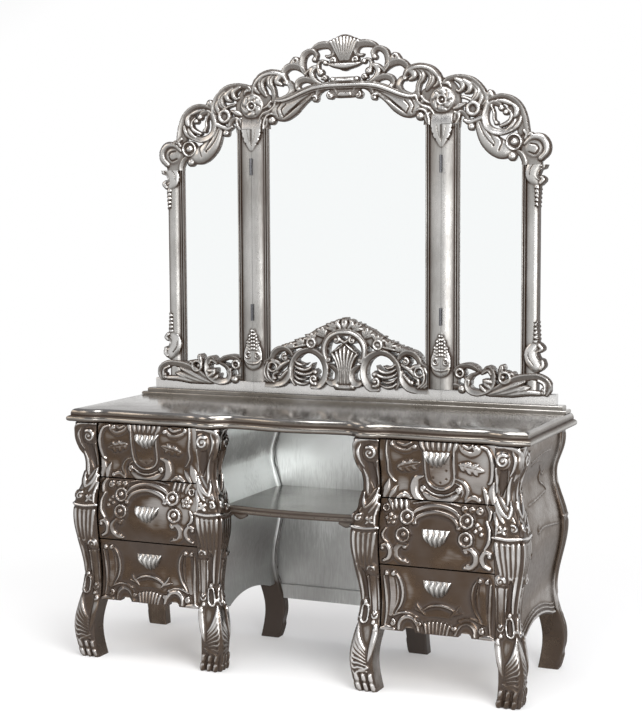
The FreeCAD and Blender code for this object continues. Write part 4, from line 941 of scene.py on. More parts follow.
def wing_crest(pitch):
    """The crest of the right wing: leaf sprays, a pierced C scroll and an ear."""
    c = Carving((SEAM + SEAM_GAP, 692), (SHOULDER, 1846), pitch, solid=False)
    rosette(c)
    c.stroke([(360, 1688, 30), (362, 1712, 30), (372, 1738, 26)], 4, strap)
    c.stroke([(418, 1742, 10), (450, 1720, 14), (462, 1700, 12)], 5, strap)
    c.stroke([(333, 1812, 6), (346, 1826, 8), (368, 1832, 9), (394, 1832, 10), (424, 1824, 11),
              (448, 1806, 11), (464, 1784, 11), (472, 1760, 10), (470, 1736, 9), (462, 1708, 8)],
             13, cupped)
    c.stroke([(340, 1816, 6), (352, 1814, 8), (358, 1804, 5)], 10)
    c.stroke([(376, 1828, 8), (396, 1816, 11), (398, 1800, 10), (388, 1790, 7), (378, 1794, 4)], 12)
    c.stroke([(402, 1822, 9), (422, 1806, 12), (420, 1790, 10), (408, 1784, 5)], 12)
    c.stroke([(430, 1812, 10), (446, 1792, 13), (442, 1772, 12), (428, 1760, 8)], 12, veined)
    c.stroke([(452, 1790, 8), (460, 1768, 10), (452, 1746, 8)], 10)
    c.stroke([(396, 1772, 5), (412, 1768, 6), (432, 1758, 6)], 10)
    c.ring(432, 1735, 18, 8, 12)
    c.boss(446, 1744, 10, 10)
    c.stroke([(372, 1702, 5), (378, 1718, 7), (394, 1725, 8), (408, 1715, 8), (416, 1696, 7)], 11, cupped)
    c.stroke([(404, 1700, 6), (420, 1694, 9), (440, 1700, 9), (462, 1708, 9)], 11)
    c.boss(427, 1680, 13, 12)
    c.stroke([(448, 1700, 9), (458, 1672, 17), (480, 1640, 27), (506, 1618, 31), (530, 1606, 28),
              (556, 1607, 14)], 11, half_round, 1)
    for shift in (0, 10):
        c.groove([(452 + shift, 1690 + shift, 1.6), (466 + shift, 1660 + shift, 2.6),
                  (484 + shift, 1636 + shift, 2.6), (500 + 0.5 * shift, 1622 + 0.5 * shift, 1.8)], 3.5)
    c.groove([(512, 1654, 1.8), (526, 1632, 2.8), (518, 1604, 2)], 4)
    c.dimple(500, 1620, 4, 4)
    c.stroke([(470, 1742, 10), (490, 1758, 9), (522, 1764, 9), (552, 1750, 14), (574, 1720, 18),
              (586, 1684, 16), (588, 1664, 14)], 4, strap)
    c.stroke([(466, 1746, 6), (492, 1764, 7), (524, 1771, 8), (556, 1762, 9), (582, 1739, 9),
              (597, 1704, 9), (606, 1660, 8)], 13, cupped)
    c.stroke([(550, 1668, 10), (520, 1661, 11), (494, 1667, 11), (476, 1684, 11), (471, 1710, 11),
              (479, 1737, 10), (496, 1750, 9), (514, 1746, 9), (524, 1735, 7)], 13, cupped)
    c.boss(524, 1734, 11, 13)
    c.stroke([(490, 1744, 5), (499, 1722, 4.5), (500, 1702, 5), (506, 1690, 6)], 10)
    c.boss(507, 1689, 8, 10)
    c.boss(538, 1721, 10, 13)
    c.stroke([(544, 1731, 5), (555, 1717, 6), (554, 1700, 7), (542, 1688, 8), (522, 1680, 6)], 11)
    c.stroke([(508, 1759, 3), (530, 1755, 8), (550, 1748, 7), (561, 1743, 3)], 7, half_round, 3)
    c.stroke([(558, 1746, 4), (571, 1731, 9), (571, 1714, 9), (562, 1704, 3)], 8, half_round, 3)
    c.stroke([(540, 1667, 4), (556, 1678, 8), (566, 1692, 6), (568, 1700, 2)], 8, half_round, 3)
    c.stroke([(556, 1664, 5), (573, 1678, 8), (583, 1694, 6), (585, 1708, 3)], 7, half_round, 3)
    c.boss(565, 1630, 28, 6)
    c.ring(565, 1630, 23, 5, 12)
    c.boss(565, 1630, 14, 13)
    c.stroke([(478, 1768, 8), (486, 1780, 12), (494, 1773, 8)], 11)
    c.spiral(619, 1650, 12, 5, 12, 180, -1, 1.1)
    c.stroke([(596, 1664, 6), (605, 1652, 7), (600, 1640, 6)], 10)
    c.boss(559, 1586, 15, 13)
    c.stroke([(546, 1604, 8), (566, 1603, 9), (586, 1593, 9), (597, 1572, 9), (598, 1556, 8)], 11, cupped)
    c.stroke([(620, 1556, 32), (622, 1580, 32), (620, 1604, 34), (604, 1632, 22)], 5, strap)
    c.boss(628, 1610, 34, 10)
    c.stroke([(598, 1624, 6), (622, 1643, 10), (650, 1642, 13), (667, 1622, 13), (667, 1598, 12),
              (650, 1580, 11)], 13)
    c.groove([(616, 1624, 2), (636, 1620, 2.6), (643, 1606, 2.6), (632, 1592, 2.6), (612, 1598, 2)], 4)
    outside = (c.uu < 387) & (c.vv < SPRING - 0.1)
    c.cover = np.where(outside, -FAR, c.cover)
    return c


def centre_foot(pitch):
    """Right half of the centre frame's pierced foot: a vase in a reeded arch, leaves, and C scrolls."""
    c = Carving((0, SEAM - STILE_WIDTH + FOOT_LAP), (840, 1078), pitch, solid=False)
    c.stroke([(0, 844, 34), (0, 866, 27), (0, 900, 26), (0, 930, 32), (0, 950, 40), (0, 966, 28),
              (0, 990, 6)], 5, strap)
    for k in range(-3, 4):
        lean = k / 3
        c.stroke([(19 * lean, 862, 3), (19 * lean, 895, 3.8), (27 * lean, 930, 5),
                  (40 * lean, 958 - 4 * abs(lean), 5.4), (46 * lean, 984 - 24 * abs(lean), 2)],
                 9, half_round, 3)
    c.stroke([(-30, 850, 9), (0, 849, 11), (30, 850, 9)], 11)
    c.boss(27, 853, 10, 13)
    c.stroke([(62, 880, 4), (57, 866, 8), (40, 861, 11), (27, 876, 10), (27, 898, 9), (40, 914, 8),
              (60, 920, 4)], 12, cupped)
    c.stroke([(-10, 1030, 12), (25, 1027, 12), (53, 1011, 12), (69, 985, 12), (70, 956, 11), (61, 934, 8)],
             13, reeded)
    c.spiral(56, 940, 12, 5, 12, 300, -1, 1.1)
    c.spiral(28, 1004, 16, 6, 12, 150, 1, 1.2)
    c.stroke([(0, 996, 6), (12, 1003, 6), (24, 1018, 6)], 10)
    c.stroke([(3, 993, 3), (22, 977, 4.5), (44, 962, 3)], 11)
    c.stroke([(0, 1042, 16), (40, 1044, 16), (80, 1024, 22), (112, 1000, 26), (140, 992, 18),
              (172, 985, 14), (208, 974, 10)], 5, strap)
    c.stroke([(-6, 1036, 10), (0, 1056, 13), (4, 1073, 5)], 12, veined)
    c.stroke([(16, 1044, 8), (26, 1058, 10), (20, 1068, 5)], 10)
    c.palm(34, 1034, ((-8, 26), (14, 28), (30, 22), (34, 8)), 11, 7)
    c.palm(72, 1012, ((-8, 24), (10, 32), (28, 26), (36, 12)), 11, 8)
    c.palm(112, 1000, ((-14, 22), (8, 24), (28, 18), (38, 6)), 11, 7)
    c.boss(117, 991, 20, 9)
    c.ring(117, 991, 14, 5.5, 13)
    c.boss(117, 991, 7, 11)
    c.palm(150, 984, ((-6, 18), (12, 22), (28, 17), (38, 6)), 11, 6)
    c.palm(184, 970, ((-4, 18), (12, 21), (28, 16), (40, 12)), 11, 6)
    c.stroke([(136, 984, 4), (160, 980, 6), (184, 974, 4)], 10)
    c.stroke([(114, 849, 10), (90, 852, 12), (72, 874, 12), (66, 905, 12), (76, 938, 12), (100, 960, 11),
              (130, 967, 10), (160, 957, 10), (182, 932, 10), (191, 900, 9), (188, 872, 8), (178, 852, 5)],
             13, cupped)
    c.spiral(108, 872, 23, 7.5, 13, 250, 1, 1.2)
    for points in (
            [(136, 924, 1.5), (150, 918, 5), (164, 921, 6), (176, 930, 3)],
            [(113, 925, 1.5), (123, 909, 6), (142, 902, 7), (162, 906, 7), (178, 915, 3)],
            [(105, 906, 1.5), (119, 893, 6), (140, 887, 7), (162, 890, 7), (180, 900, 3)],
            [(130, 878, 1.5), (146, 870, 5), (164, 873, 6), (179, 884, 3)],
            [(126, 862, 3), (146, 855, 6), (166, 858, 7), (180, 868, 4)]):
        c.stroke(points, 12)
    c.boss(104, 895, 9, 11)
    c.stroke([(190, 950, 7), (198, 962, 9), (216, 970, 10), (238, 966, 11), (254, 952, 11), (264, 934, 9),
              (287, 922, 8)], 13, cupped)
    c.spiral(213, 940, 18, 6.5, 12, 100, -1, 1.3)
    c.stroke([(200, 930, 6), (210, 924, 8), (226, 914, 9), (242, 898, 8)], 11)
    c.stroke([(226, 914, 7), (242, 925, 8), (260, 930, 7)], 10)
    c.ring(259, 908, 15, 5.5, 11)
    c.stroke([(287, 847, 9), (253, 848, 10), (222, 857, 12), (203, 878, 12), (198, 907, 8)], 13, cupped)
    c.stroke([(206, 898, 6), (222, 880, 8), (232, 868, 6)], 10)
    c.boss(233, 873, 9, 10)
    c.stroke([(240, 892, 6), (254, 884, 7), (257, 868, 6)], 10)
    c.boss(252, 870, 8, 10)
    for shift in (0, 11, 22):
        c.stroke([(254 + shift, 858, 5), (272 + shift, 874, 6), (276 + shift, 898, 6),
                  (266 + shift, 922, 5)], 11)
    return mirrored(c)


def wing_foot(pitch):
    """The pierced foot of the right wing: a C scroll, a bud and a long leaf that curls over at the end."""
    c = Carving((SEAM + STILE_WIDTH - FOOT_LAP, 692), (838, 946), pitch, solid=False)
    c.stroke([(376, 886, 12), (382, 906, 12)], 5, strap)
    c.stroke([(372, 868, 10), (386, 869, 10), (400, 861, 10)], 11, cupped)
    c.boss(401, 860, 14, 12)
    c.ring(395, 911, 12, 5.5, 11)
    c.boss(395, 911, 5, 8)
    c.stroke([(376, 910, 6), (386, 926, 8), (405, 934, 9), (428, 934, 9), (447, 926, 8), (463, 914, 4)],
             12, cupped)
    c.stroke([(412, 896, 5), (424, 886, 7), (421, 868, 6)], 9)
    c.stroke([(470, 914, 5), (486, 930, 8), (501, 918, 10), (504, 890, 11), (490, 864, 11), (456, 851, 11),
              (427, 858, 11), (419, 882, 10), (432, 903, 8), (453, 912, 5)], 13, cupped)
    c.stroke([(468, 911, 4), (486, 922, 5), (496, 910, 5)], 9)
    for points in (
            [(498, 886, 8), (484, 887, 9), (473, 892, 4)],
            [(494, 868, 9), (481, 877, 9), (473, 887, 4)],
            [(478, 858, 8), (468, 866, 8), (462, 875, 4)]):
        c.stroke(points, 11)
    c.stroke([(526, 912, 8), (531, 928, 10), (532, 935, 8)], 12, veined)
    c.ring(542, 901, 17, 6.5, 12)
    c.boss(535, 902, 9, 11)
    c.stroke([(556, 911, 7), (566, 914, 7), (574, 907, 4)], 10)
    c.stroke([(484, 847, 6), (516, 862, 13), (548, 882, 15), (584, 899, 14), (616, 906, 12), (648, 907, 12),
              (674, 895, 12), (684, 875, 11), (676, 857, 9)], 13, cupped)
    for points in (
            [(486, 846, 5), (530, 860, 11), (572, 878, 11), (606, 892, 5)],
            [(492, 845, 5), (540, 853, 11), (584, 866, 11), (614, 879, 4)],
            [(520, 845, 5), (566, 850, 10), (612, 857, 11), (654, 857, 9)],
            [(580, 858, 7), (606, 868, 9), (624, 875, 4)]):
        c.stroke(points, 12)
    c.stroke([(650, 896, 5), (668, 886, 6), (672, 870, 6)], 9, half_round, 3)
    c.spiral(664, 860, 15, 6, 13, 90, -1, 1.1)
    return c


def seam_section(u):
    """Height of a seam stile's moulding, measured from its sight edge."""
    def bead(start):
        """A half round 6 wide."""
        return 3 * np.sqrt(np.clip(1 - ((u - start - 3) / 3) ** 2, 0, 1))

    broad = 9 * np.sin(np.clip((u - 16) / 40, 0, 1) * math.pi / 2) ** 0.8
    return np.where(u < 6, bead(0), np.where((u > 8) & (u < 14), bead(8), np.where(u >= 16, broad, -2.0)))


def stile_carving(pitch, top, seam):
    """A stile: two beads at the sight edge, a broad half round, and its leaves."""
    width = STILE_WIDTH - SEAM_GAP if seam else STILE_WIDTH
    reach = width if seam else 86
    c = Carving((0, reach), (STILE_FOOT, top), pitch, solid=False)
    c.level, c.contrast, c.base = 5.0, 1.6, -0.06
    c.height = seam_section(c.uu)
    if seam:
        c.cover = np.full(c.uu.shape, FAR)
        seam_leaves(c)
    else:
        rounded = 9 * np.sin(np.clip((c.uu - 16) / 40, 0, 1) * math.pi * 0.8) ** 0.7
        c.height = np.where(c.uu < 16, c.height, rounded)
        c.cover = np.clip(width - c.uu, -FAR, FAR)
        outer_leaves(c)
    return c


def seam_leaves(c):
    """Half of the leaf at a seam's foot and half of the tongue under the rosette; the seam is at u 56."""
    c.stroke([(56, 1046, 1), (56, 1012, 13), (56, 980, 22), (56, 950, 33), (56, 930, 33), (56, 918, 24)],
             4, strap, 8)
    for row in range(6):
        c.boss(52, 1026 - 12 * row, 4.5, 4, 11)
        c.boss(43, 1008 - 11 * row, 4, 4, 10)
    for row in range(3):
        c.boss(35, 988 - 10 * row, 4, 4, 9)
    c.spiral(40, 943, 16, 5, 16, 90, 1, 1.4)
    c.stroke([(26, 930, 3), (38, 919, 4), (56, 916, 4)], 5, half_round, 9)
    c.stroke([(56, 1690, 36), (56, 1668, 31), (56, 1648, 20), (56, 1628, 9), (56, 1620, 1)], 3, strap, 9)
    for across, up in ((21, 1678), (27, 1660), (35, 1643)):
        c.dimple(across, up, 3.5, 3)
    c.groove([(54, 1690, 1.2), (54, 1660, 1.2), (55, 1636, 1)], 2)
    c.groove([(40, 1690, 1), (44, 1668, 1), (50, 1646, 0.8)], 1.2)


def outer_leaves(c):
    """Leaves with a C bite and husk chains on the outer edge of a wing, above and below."""
    for low, flip in ((1500, 1), (1010, -1)):
        def at(u, rise, half):
            return u, low + flip * rise, half

        c.stroke([at(52, 0, 10), at(36, 22, 20), at(38, 46, 24), at(52, 68, 22)], 7, half_round, 6)
        c.stroke([at(62, 4, 8), at(70, 14, 8), at(64, 22, 6)], 8, half_round, 6)
        c.stroke([at(70, 12, 5), at(54, 20, 7), at(48, 34, 8), at(56, 48, 8), at(72, 52, 6)], 9, gouged, 6)
        c.stroke([at(72, 52, 6), at(74, 66, 8), at(66, 76, 8)], 8, half_round, 6)
        c.groove([at(26, 26, 1), at(30, 48, 1.5), at(44, 66, 1)], 2)
        for husk in range(5):
            c.stroke([at(50, -8 - 13 * husk, 8 - husk * 0.8), at(55, -15 - 13 * husk, 6 - husk * 0.6)],
                     5, half_round, 8)
            c.groove([at(44, -14 - 13 * husk, 1.4), at(60, -14 - 13 * husk, 1.4)], 2.5)


class TABLE_OT_mirror_frame(bpy.types.Operator):
    """Carved crests, feet and stiles of the three mirror frames"""

    bl_idname = "dressing_table.mirror_frame"
    bl_label = "Mirror frame"

    def execute(self, context):
        pitch = sizes().carving_pitch
        crest = flat_plate("centre_crest_carving", centre_crest(pitch), PLATE_EDGE, PLATE_BACK)
        settle(crest, "table", "silver_leaf", "centre_crest")
        foot = flat_plate("centre_foot_carving", centre_foot(pitch), FOOT_EDGE, FOOT_BACK)
        board = base_board("centre_base_board", -SEAM + SEAM_GAP, SEAM - SEAM_GAP, BASE_Z)
        for piece in (foot, board):
            settle(piece, "table", "silver_leaf", "centre_bottom_rail")
        crest_drawing, foot_drawing = wing_crest(pitch), wing_foot(pitch)
        seam_stile = stile_carving(pitch, SPRING, True)
        end_stile = stile_carving(pitch, SHOULDER, False)
        for side, sign in SIDES:
            wing = f"{side}_wing"
            flip = sign < 0
            crest = flat_plate(f"{wing}_crest_carving", crest_drawing, PLATE_EDGE, PLATE_BACK, flip)
            settle(crest, wing, "silver_leaf", f"{wing}_crest")
            foot = flat_plate(f"{wing}_foot_carving", foot_drawing, FOOT_EDGE, FOOT_BACK, flip)
            ends = sorted((sign * (SEAM + SEAM_GAP), sign * BOARD_END))
            board = base_board(f"{wing}_base_board", *ends, BASE_Z + SEAM_GAP)
            for piece in (foot, board):
                settle(piece, wing, "silver_leaf", f"{wing}_bottom_rail")
            for name, body, sight, way, drawing in (
                    (f"centre_{side}_stile", "table", SEAM - STILE_WIDTH, 1, seam_stile),
                    (f"{wing}_inner_stile", wing, SEAM + STILE_WIDTH, -1, seam_stile),
                    (f"{wing}_outer_stile", wing, SEAM + WING_WIDTH - STILE_WIDTH, 1, end_stile)):
                piece = self.stile(name + "_moulding", drawing, sign * sight, sign * way)
                settle(piece, body, "silver_leaf", name)
        return {"FINISHED"}

    def stile(self, name, drawing, sight, way):
        """A moulding that runs up from its sight edge, with a rebate behind it for the glass."""
        uu, vv = snapped(drawing)
        x = sight + way * uu
        front = np.stack([x, STILE_EDGE - drawing.height, vv], -1)
        back = np.stack([x, np.where(uu < REBATE, REBATE_FLOOR, STILE_BACK), vv], -1)
        return plate_piece(name, drawing, front, back, "frame_silver", open_work=True)


def base_board(name, x0, x1, low):
    """A plain board with eased edges under a frame."""
    ease, high, front, back = 3.0, STILE_FOOT, FOOT_EDGE, BOARD_BACK
    profile = [(back, low), (front, low), (front, high - ease), (front + ease * 0.3, high - ease * 0.3),
               (front + ease, high), (back, high)]
    points = [(x, y, z) for x in np.linspace(x0, x1, 12) for y, z in profile]
    index = np.arange(len(points)).reshape(-1, len(profile))
    wear_and_painted_light = np.full(len(points), 0.4)
    return make_piece(name, points, tube_faces(index), wear_and_painted_light, "frame_silver", sharp_from=25)


# Drawer fronts
def face_depth(z):
    """Where the swelling drawer fronts stand at a height."""
    return FRONT_PLANE + FRONT_INSET - LEG_DEPTH(z)


def sprig(c, u, v, tilt):
    """A jagged oak leaf that lies on the plain ground, tilted by an angle in degrees."""
    east, north = math.cos(math.radians(tilt)), math.sin(math.radians(tilt))

    def at(along, up, half):
        return u + along * east - up * north, v + along * north + up * east, half

    c.stroke([at(-38, -2, 2), at(-18, 0, 12), at(8, 0, 13), at(26, 1, 8), at(39, 2, 2)], 5)
    for along, reach in ((-24, 15), (-4, 19), (16, 16)):
        c.stroke([at(along - 4, 0, 8), at(along, -0.6 * reach, 8), at(along + 7, -reach, 2)], 5)
    for along, reach in ((-12, 14), (10, 15)):
        c.stroke([at(along - 4, 0, 8), at(along, 0.6 * reach, 7.5), at(along + 8, reach, 2)], 6)
    c.groove([at(-30, -1, 1), at(0, 1, 1.8), at(32, 2, 1)], 1.6)


def upper_front(c):
    """A ruffle and swags at the top, a U plaque under the pull, cup, crescents, sprigs and leaves."""
    c.stroke([(9, 740, 43), (9, 700, 43), (9, 664, 43), (9, 655, 42)], 3.5, strap)
    rim = [(-36, 738), (-35, 700), (-34, 655), (-26, 634), (-8, 621), (9, 618), (26, 621), (44, 634),
           (52, 655), (53, 700), (54, 738)]
    c.stroke([(u, v, 4) for u, v in rim], 4.5, half_round, 2)
    c.groove([(9 + 0.78 * (u - 9), 672 + 0.8 * (v - 672), 2.2) for u, v in rim], 2)
    for u, v in ((-13, 652), (27, 650), (8, 638), (29, 676), (-15, 684)):
        c.dimple(u, v, 3, 2.5)
    for k in range(-3, 4):
        c.stroke([(7 + k * 18, 758, 8.5), (7 + k * 17, 746, 8.5), (8 + k * 15.5, 736, 6)], 8)
    c.stroke([(-42, 604, 7), (-22, 593, 12), (9, 588, 13), (40, 593, 12), (60, 604, 7)], 7)
    c.stroke([(-34, 616, 3), (-12, 604, 5), (9, 601, 6), (30, 604, 5), (52, 616, 3)], 8.5)
    c.groove([(-22, 602, 1.5), (9, 595, 3), (40, 602, 1.5)], 3)
    c.spiral(-43, 619, 14, 5.5, 9, 250, -1, 1.2)
    c.spiral(61, 619, 14, 5.5, 9, -70, 1, 1.2)
    c.stroke([(-44, 655, 4), (-66, 645, 11), (-72, 616, 15), (-64, 594, 12), (-48, 586, 5)], 8)
    c.stroke([(56, 652, 3), (78, 642, 6), (91, 618, 7), (84, 596, 4)], 6, cupped)
    c.stroke([(50, 642, 2), (68, 632, 3.5), (76, 614, 3.5), (72, 600, 2)], 4)
    sprig(c, -88, 686, 12)
    sprig(c, 104, 688, -14)
    c.stroke([(-152, 757, 4), (-154, 725, 5), (-150, 690, 5), (-150, 662, 5), (-138, 640, 4),
              (-130, 634, 3)], 6)
    c.stroke([(134, 752, 4), (156, 742, 6), (168, 712, 7), (168, 678, 7), (162, 652, 6), (154, 644, 4)], 8)
    c.stroke([(-168, 584, 7), (-158, 612, 13), (-150, 640, 3)], 6, fluted)
    c.stroke([(-150, 584, 5), (-138, 604, 9), (-126, 622, 2)], 5)
    c.stroke([(172, 584, 8), (164, 618, 13), (170, 648, 3)], 7, fluted)
    c.stroke([(150, 584, 6), (148, 606, 10), (136, 632, 2)], 6)
    c.stroke([(-124, 588, 6), (-104, 598, 9), (-82, 588, 5)], 6)
    c.spiral(-104, 594, 9, 4, 8, 90, 1, 1.1)
    c.stroke([(86, 588, 5), (106, 600, 9), (128, 592, 7)], 6)
    c.boss(126, 594, 9, 8)
    c.stroke([(-138, 748, 5), (-128, 736, 6), (-106, 728, 7), (-84, 730, 7), (-68, 744, 5)], 7, cupped)
    c.stroke([(-120, 750, 4), (-98, 744, 6), (-80, 752, 4)], 5)
    c.boss(-66, 741, 9, 8)
    c.spiral(-136, 746, 10, 4, 7, 90, 1, 1.1)
    c.stroke([(70, 748, 5), (84, 734, 7), (106, 728, 8), (126, 736, 7), (134, 750, 4)], 7, cupped)
    c.boss(118, 746, 10, 8)
    c.stroke([(80, 752, 4), (96, 745, 6), (108, 752, 4)], 5)


def middle_front(c):
    """Arched tubes over the pull, dished rosettes, side foliage and C scrolls."""
    c.stroke([(-74, 573, 3), (-40, 579, 4), (0, 582, 4), (40, 579, 4), (70, 573, 3)], 5)
    c.stroke([(-72, 544, 5), (-58, 556, 8), (-30, 566, 9), (0, 570, 9), (32, 566, 9), (58, 554, 9),
              (76, 536, 6)], 8)
    c.stroke([(-66, 518, 6), (-58, 534, 8), (-34, 546, 9), (0, 552, 9), (34, 546, 9), (56, 534, 9),
              (70, 514, 7)], 9)
    c.spiral(-66, 516, 10, 4.5, 9, 0, 1, 1.1)
    c.boss(70, 512, 10, 9)
    for u, v in ((-90, 533), (-100, 481), (92, 533), (92, 481)):
        c.boss(u, v, 25, 3)
        c.ring(u, v, 19, 5.5, 8)
        for k in range(6):
            turn = k * math.pi / 3
            c.dimple(u + 24 * math.cos(turn), v + 24 * math.sin(turn), 3.2, 3)
        c.boss(u + 2, v + 1, 10, 9)
    for k in range(5):
        turn = 0.4 + k * 2 * math.pi / 5
        c.boss(-140 + 12 * math.cos(turn), 524 + 12 * math.sin(turn), 8, 6)
    c.boss(-140, 524, 5, 8)
    c.ring(-156, 556, 9, 3.5, 6)
    for u in (-126, -110, -94):
        c.stroke([(u - 3, 580, 6), (u, 566, 7), (u + 2, 556, 4)], 7)
    c.stroke([(-150, 580, 5), (-140, 566, 7), (-136, 552, 4)], 6)
    c.stroke([(-154, 496, 4), (-163, 480, 7), (-158, 464, 6), (-146, 456, 3)], 7)
    for u, v, r in ((84, 567, 12), (106, 566, 12), (130, 564, 14)):
        c.boss(u, v, r, 8)
        c.dimple(u + 3, v - 4, r * 0.35, 2)
    c.stroke([(150, 578, 5), (162, 560, 8), (160, 540, 6)], 6, fluted)
    c.stroke([(152, 536, 5), (163, 510, 7), (162, 480, 7), (150, 458, 5)], 8)
    for u, v in ((124, 524), (134, 514), (120, 506), (138, 498)):
        c.boss(u, v, 7, 5)
    for way in (-1, 1):
        c.stroke([(way * 88, 452, 6), (way * 106, 454, 8), (way * 122, 438, 10), (way * 122, 416, 10),
                  (way * 106, 400, 9), (way * 88, 398, 6)], 9, cupped if way < 0 else half_round)
        c.boss(way * 94, 446, 9, 8)
        c.stroke([(way * 166, 446, 6), (way * 150, 448, 8), (way * 140, 430, 9), (way * 146, 410, 8),
                  (way * 162, 400, 6)], 8)
        c.boss(way * 164, 438, 8, 8)
        c.boss(way * 98, 404, 8, 7)


def lower_front(c):
    """Strap scrolls at the sides, an arched ribbon over a plaque, and a fan between two bites."""
    c.stroke([(-34, 246, 9), (0, 252, 12), (40, 246, 9)], 2.5, strap)
    for way in (-1, 1):
        c.stroke([(way * 164, 352, 4), (way * 160, 300, 6), (way * 158, 250, 6), (way * 162, 206, 4)], 6)
        c.stroke([(way * 142, 358, 9), (way * 138, 320, 11), (way * 138, 280, 11), (way * 146, 236, 8)],
                 4.5, strap)
        c.stroke([(way * 124, 362, 3), (way * 112, 340, 5), (way * 107, 305, 5.5), (way * 114, 270, 5),
                  (way * 132, 240, 3)], 7)
        c.stroke([(way * 128, 352, 2), (way * 122, 318, 4), (way * 124, 280, 4), (way * 136, 248, 2)], 5.5)
        c.spiral(way * 156, 360, 11, 5, 9, 90, way, 1.1)
        c.spiral(way * 132, 361, 11, 5, 9, 90, -way, 1.1)
        c.stroke([(way * 118, 196, 6), (way * 116, 216, 8), (way * 100, 232, 9), (way * 78, 230, 8),
                  (way * 62, 214, 8), (way * 56, 196, 6)], 9, cupped if way > 0 else half_round)
        c.stroke([(way * 136, 234, 4), (way * 112, 244, 5), (way * 86, 244, 4), (way * 62, 234, 3)], 6)
        c.spiral(way * 138, 212, 15, 6, 9, 90, way, 1.2)
        c.stroke([(way * 172, 192, 8), (way * 156, 196, 10), (way * 134, 194, 7)], 8)
        c.stroke([(way * 66, 278, 2), (way * 60, 266, 4), (way * 48, 254, 5), (way * 40, 244, 3)], 6)
        c.stroke([(way * 76, 260, 2), (way * 62, 256, 4), (way * 50, 250, 3)], 5)
        c.spiral(way * 54, 214, 12, 5, 9, 180, way, 1.1)
        c.boss(way * 68, 236, 6, 6)
    c.stroke([(-44, 258, 4), (-24, 270, 5.5), (4, 276, 6), (34, 271, 5.5), (54, 260, 4)], 7)
    for k in range(-3, 4):
        c.stroke([(k * 12.5, 224 - 0.8 * k * k, 6.4), (k * 11.5, 208, 6.6), (k * 10.5, 192, 5)], 8)


# Each front's lower and upper edge, its drawing and the tone of its ground; the tones are painted light and
# shade, lighter on the upper front and darker on the lower
FRONTS = {
    "upper": (586, 757, upper_front, 0.24),
    "middle": (389, 582, middle_front, 0.1),
    "lower": (190, 385, lower_front, -0.05),
}
PULL_TOPS = {"upper": 733, "middle": 503, "lower": 349}
FRONT_HALF = 175.5
FRONT_BACK = -205
PULL_SINK = 0.6


class TABLE_OT_drawer_fronts(bpy.types.Operator):
    """Swelling drawer fronts with their carving"""

    bl_idname = "dressing_table.drawer_fronts"
    bl_label = "Drawer fronts"

    def execute(self, context):
        for level in LEVELS:
            low, high, draw, base = FRONTS[level]
            c = Carving((-FRONT_HALF, FRONT_HALF), (low, high), sizes().carving_pitch)
            c.contrast, c.base = 1.45, base
            draw(c)
            if level == "lower":
                for way in (-1, 1):
                    c.notch(way * 86, 184, 21)
            uu, vv = snapped(c)
            raised = c.eased_height()
            for side, sign in SIDES:
                plain = np.stack([sign * (PEDESTAL + uu), face_depth(vv), vv], -1)
                normal = normals_of(plain) * sign
                front = plain + normal * raised[..., None]
                back = plain.copy()
                back[..., 1] = FRONT_BACK
                name = f"{side}_{level}_drawer"
                piece = plate_piece(name + "_carving", c, front, back, "drawer_silver")
                settle(piece, name, "silver_leaf", name + "_front")
        return {"FINISHED"}


class TABLE_OT_pulls(bpy.types.Operator):
    """Scallop shell pulls, bent to the drawer fronts"""

    bl_idname = "dressing_table.pulls"
    bl_label = "Shell pulls"

    def execute(self, context):
        recipe = shell_recipe()
        values = {"Width": sizes().pull_width, "Height": sizes().pull_height, "Reach": sizes().pull_reach}
        for level in LEVELS:
            for side, sign in SIDES:
                name = f"{side}_{level}_drawer"
                piece = recipe.made(name + "_shell", **values)
                mesh = piece.data
                flat = np.empty(3 * len(mesh.vertices))
                mesh.vertices.foreach_get("co", flat)
                points = flat.reshape(-1, 3)
                points[:, 0] += sign * PEDESTAL * MM
                points[:, 2] += PULL_TOPS[level] * MM
                points[:, 1] += (face_depth(points[:, 2] / MM) + PULL_SINK) * MM
                mesh.vertices.foreach_set("co", points.ravel())
                mesh.update()
                mesh.shade_smooth()
                settle(piece, name, "pull_metal", name + "_pull")
        return {"FINISHED"}


# Legs
def carve_corner(draw):
    """Draw on the front face and again, turned over, on the side that looks away from the drawers."""
    draw(lambda u: u, 1)
    draw(lambda u: LEG_FACE - u, -1)


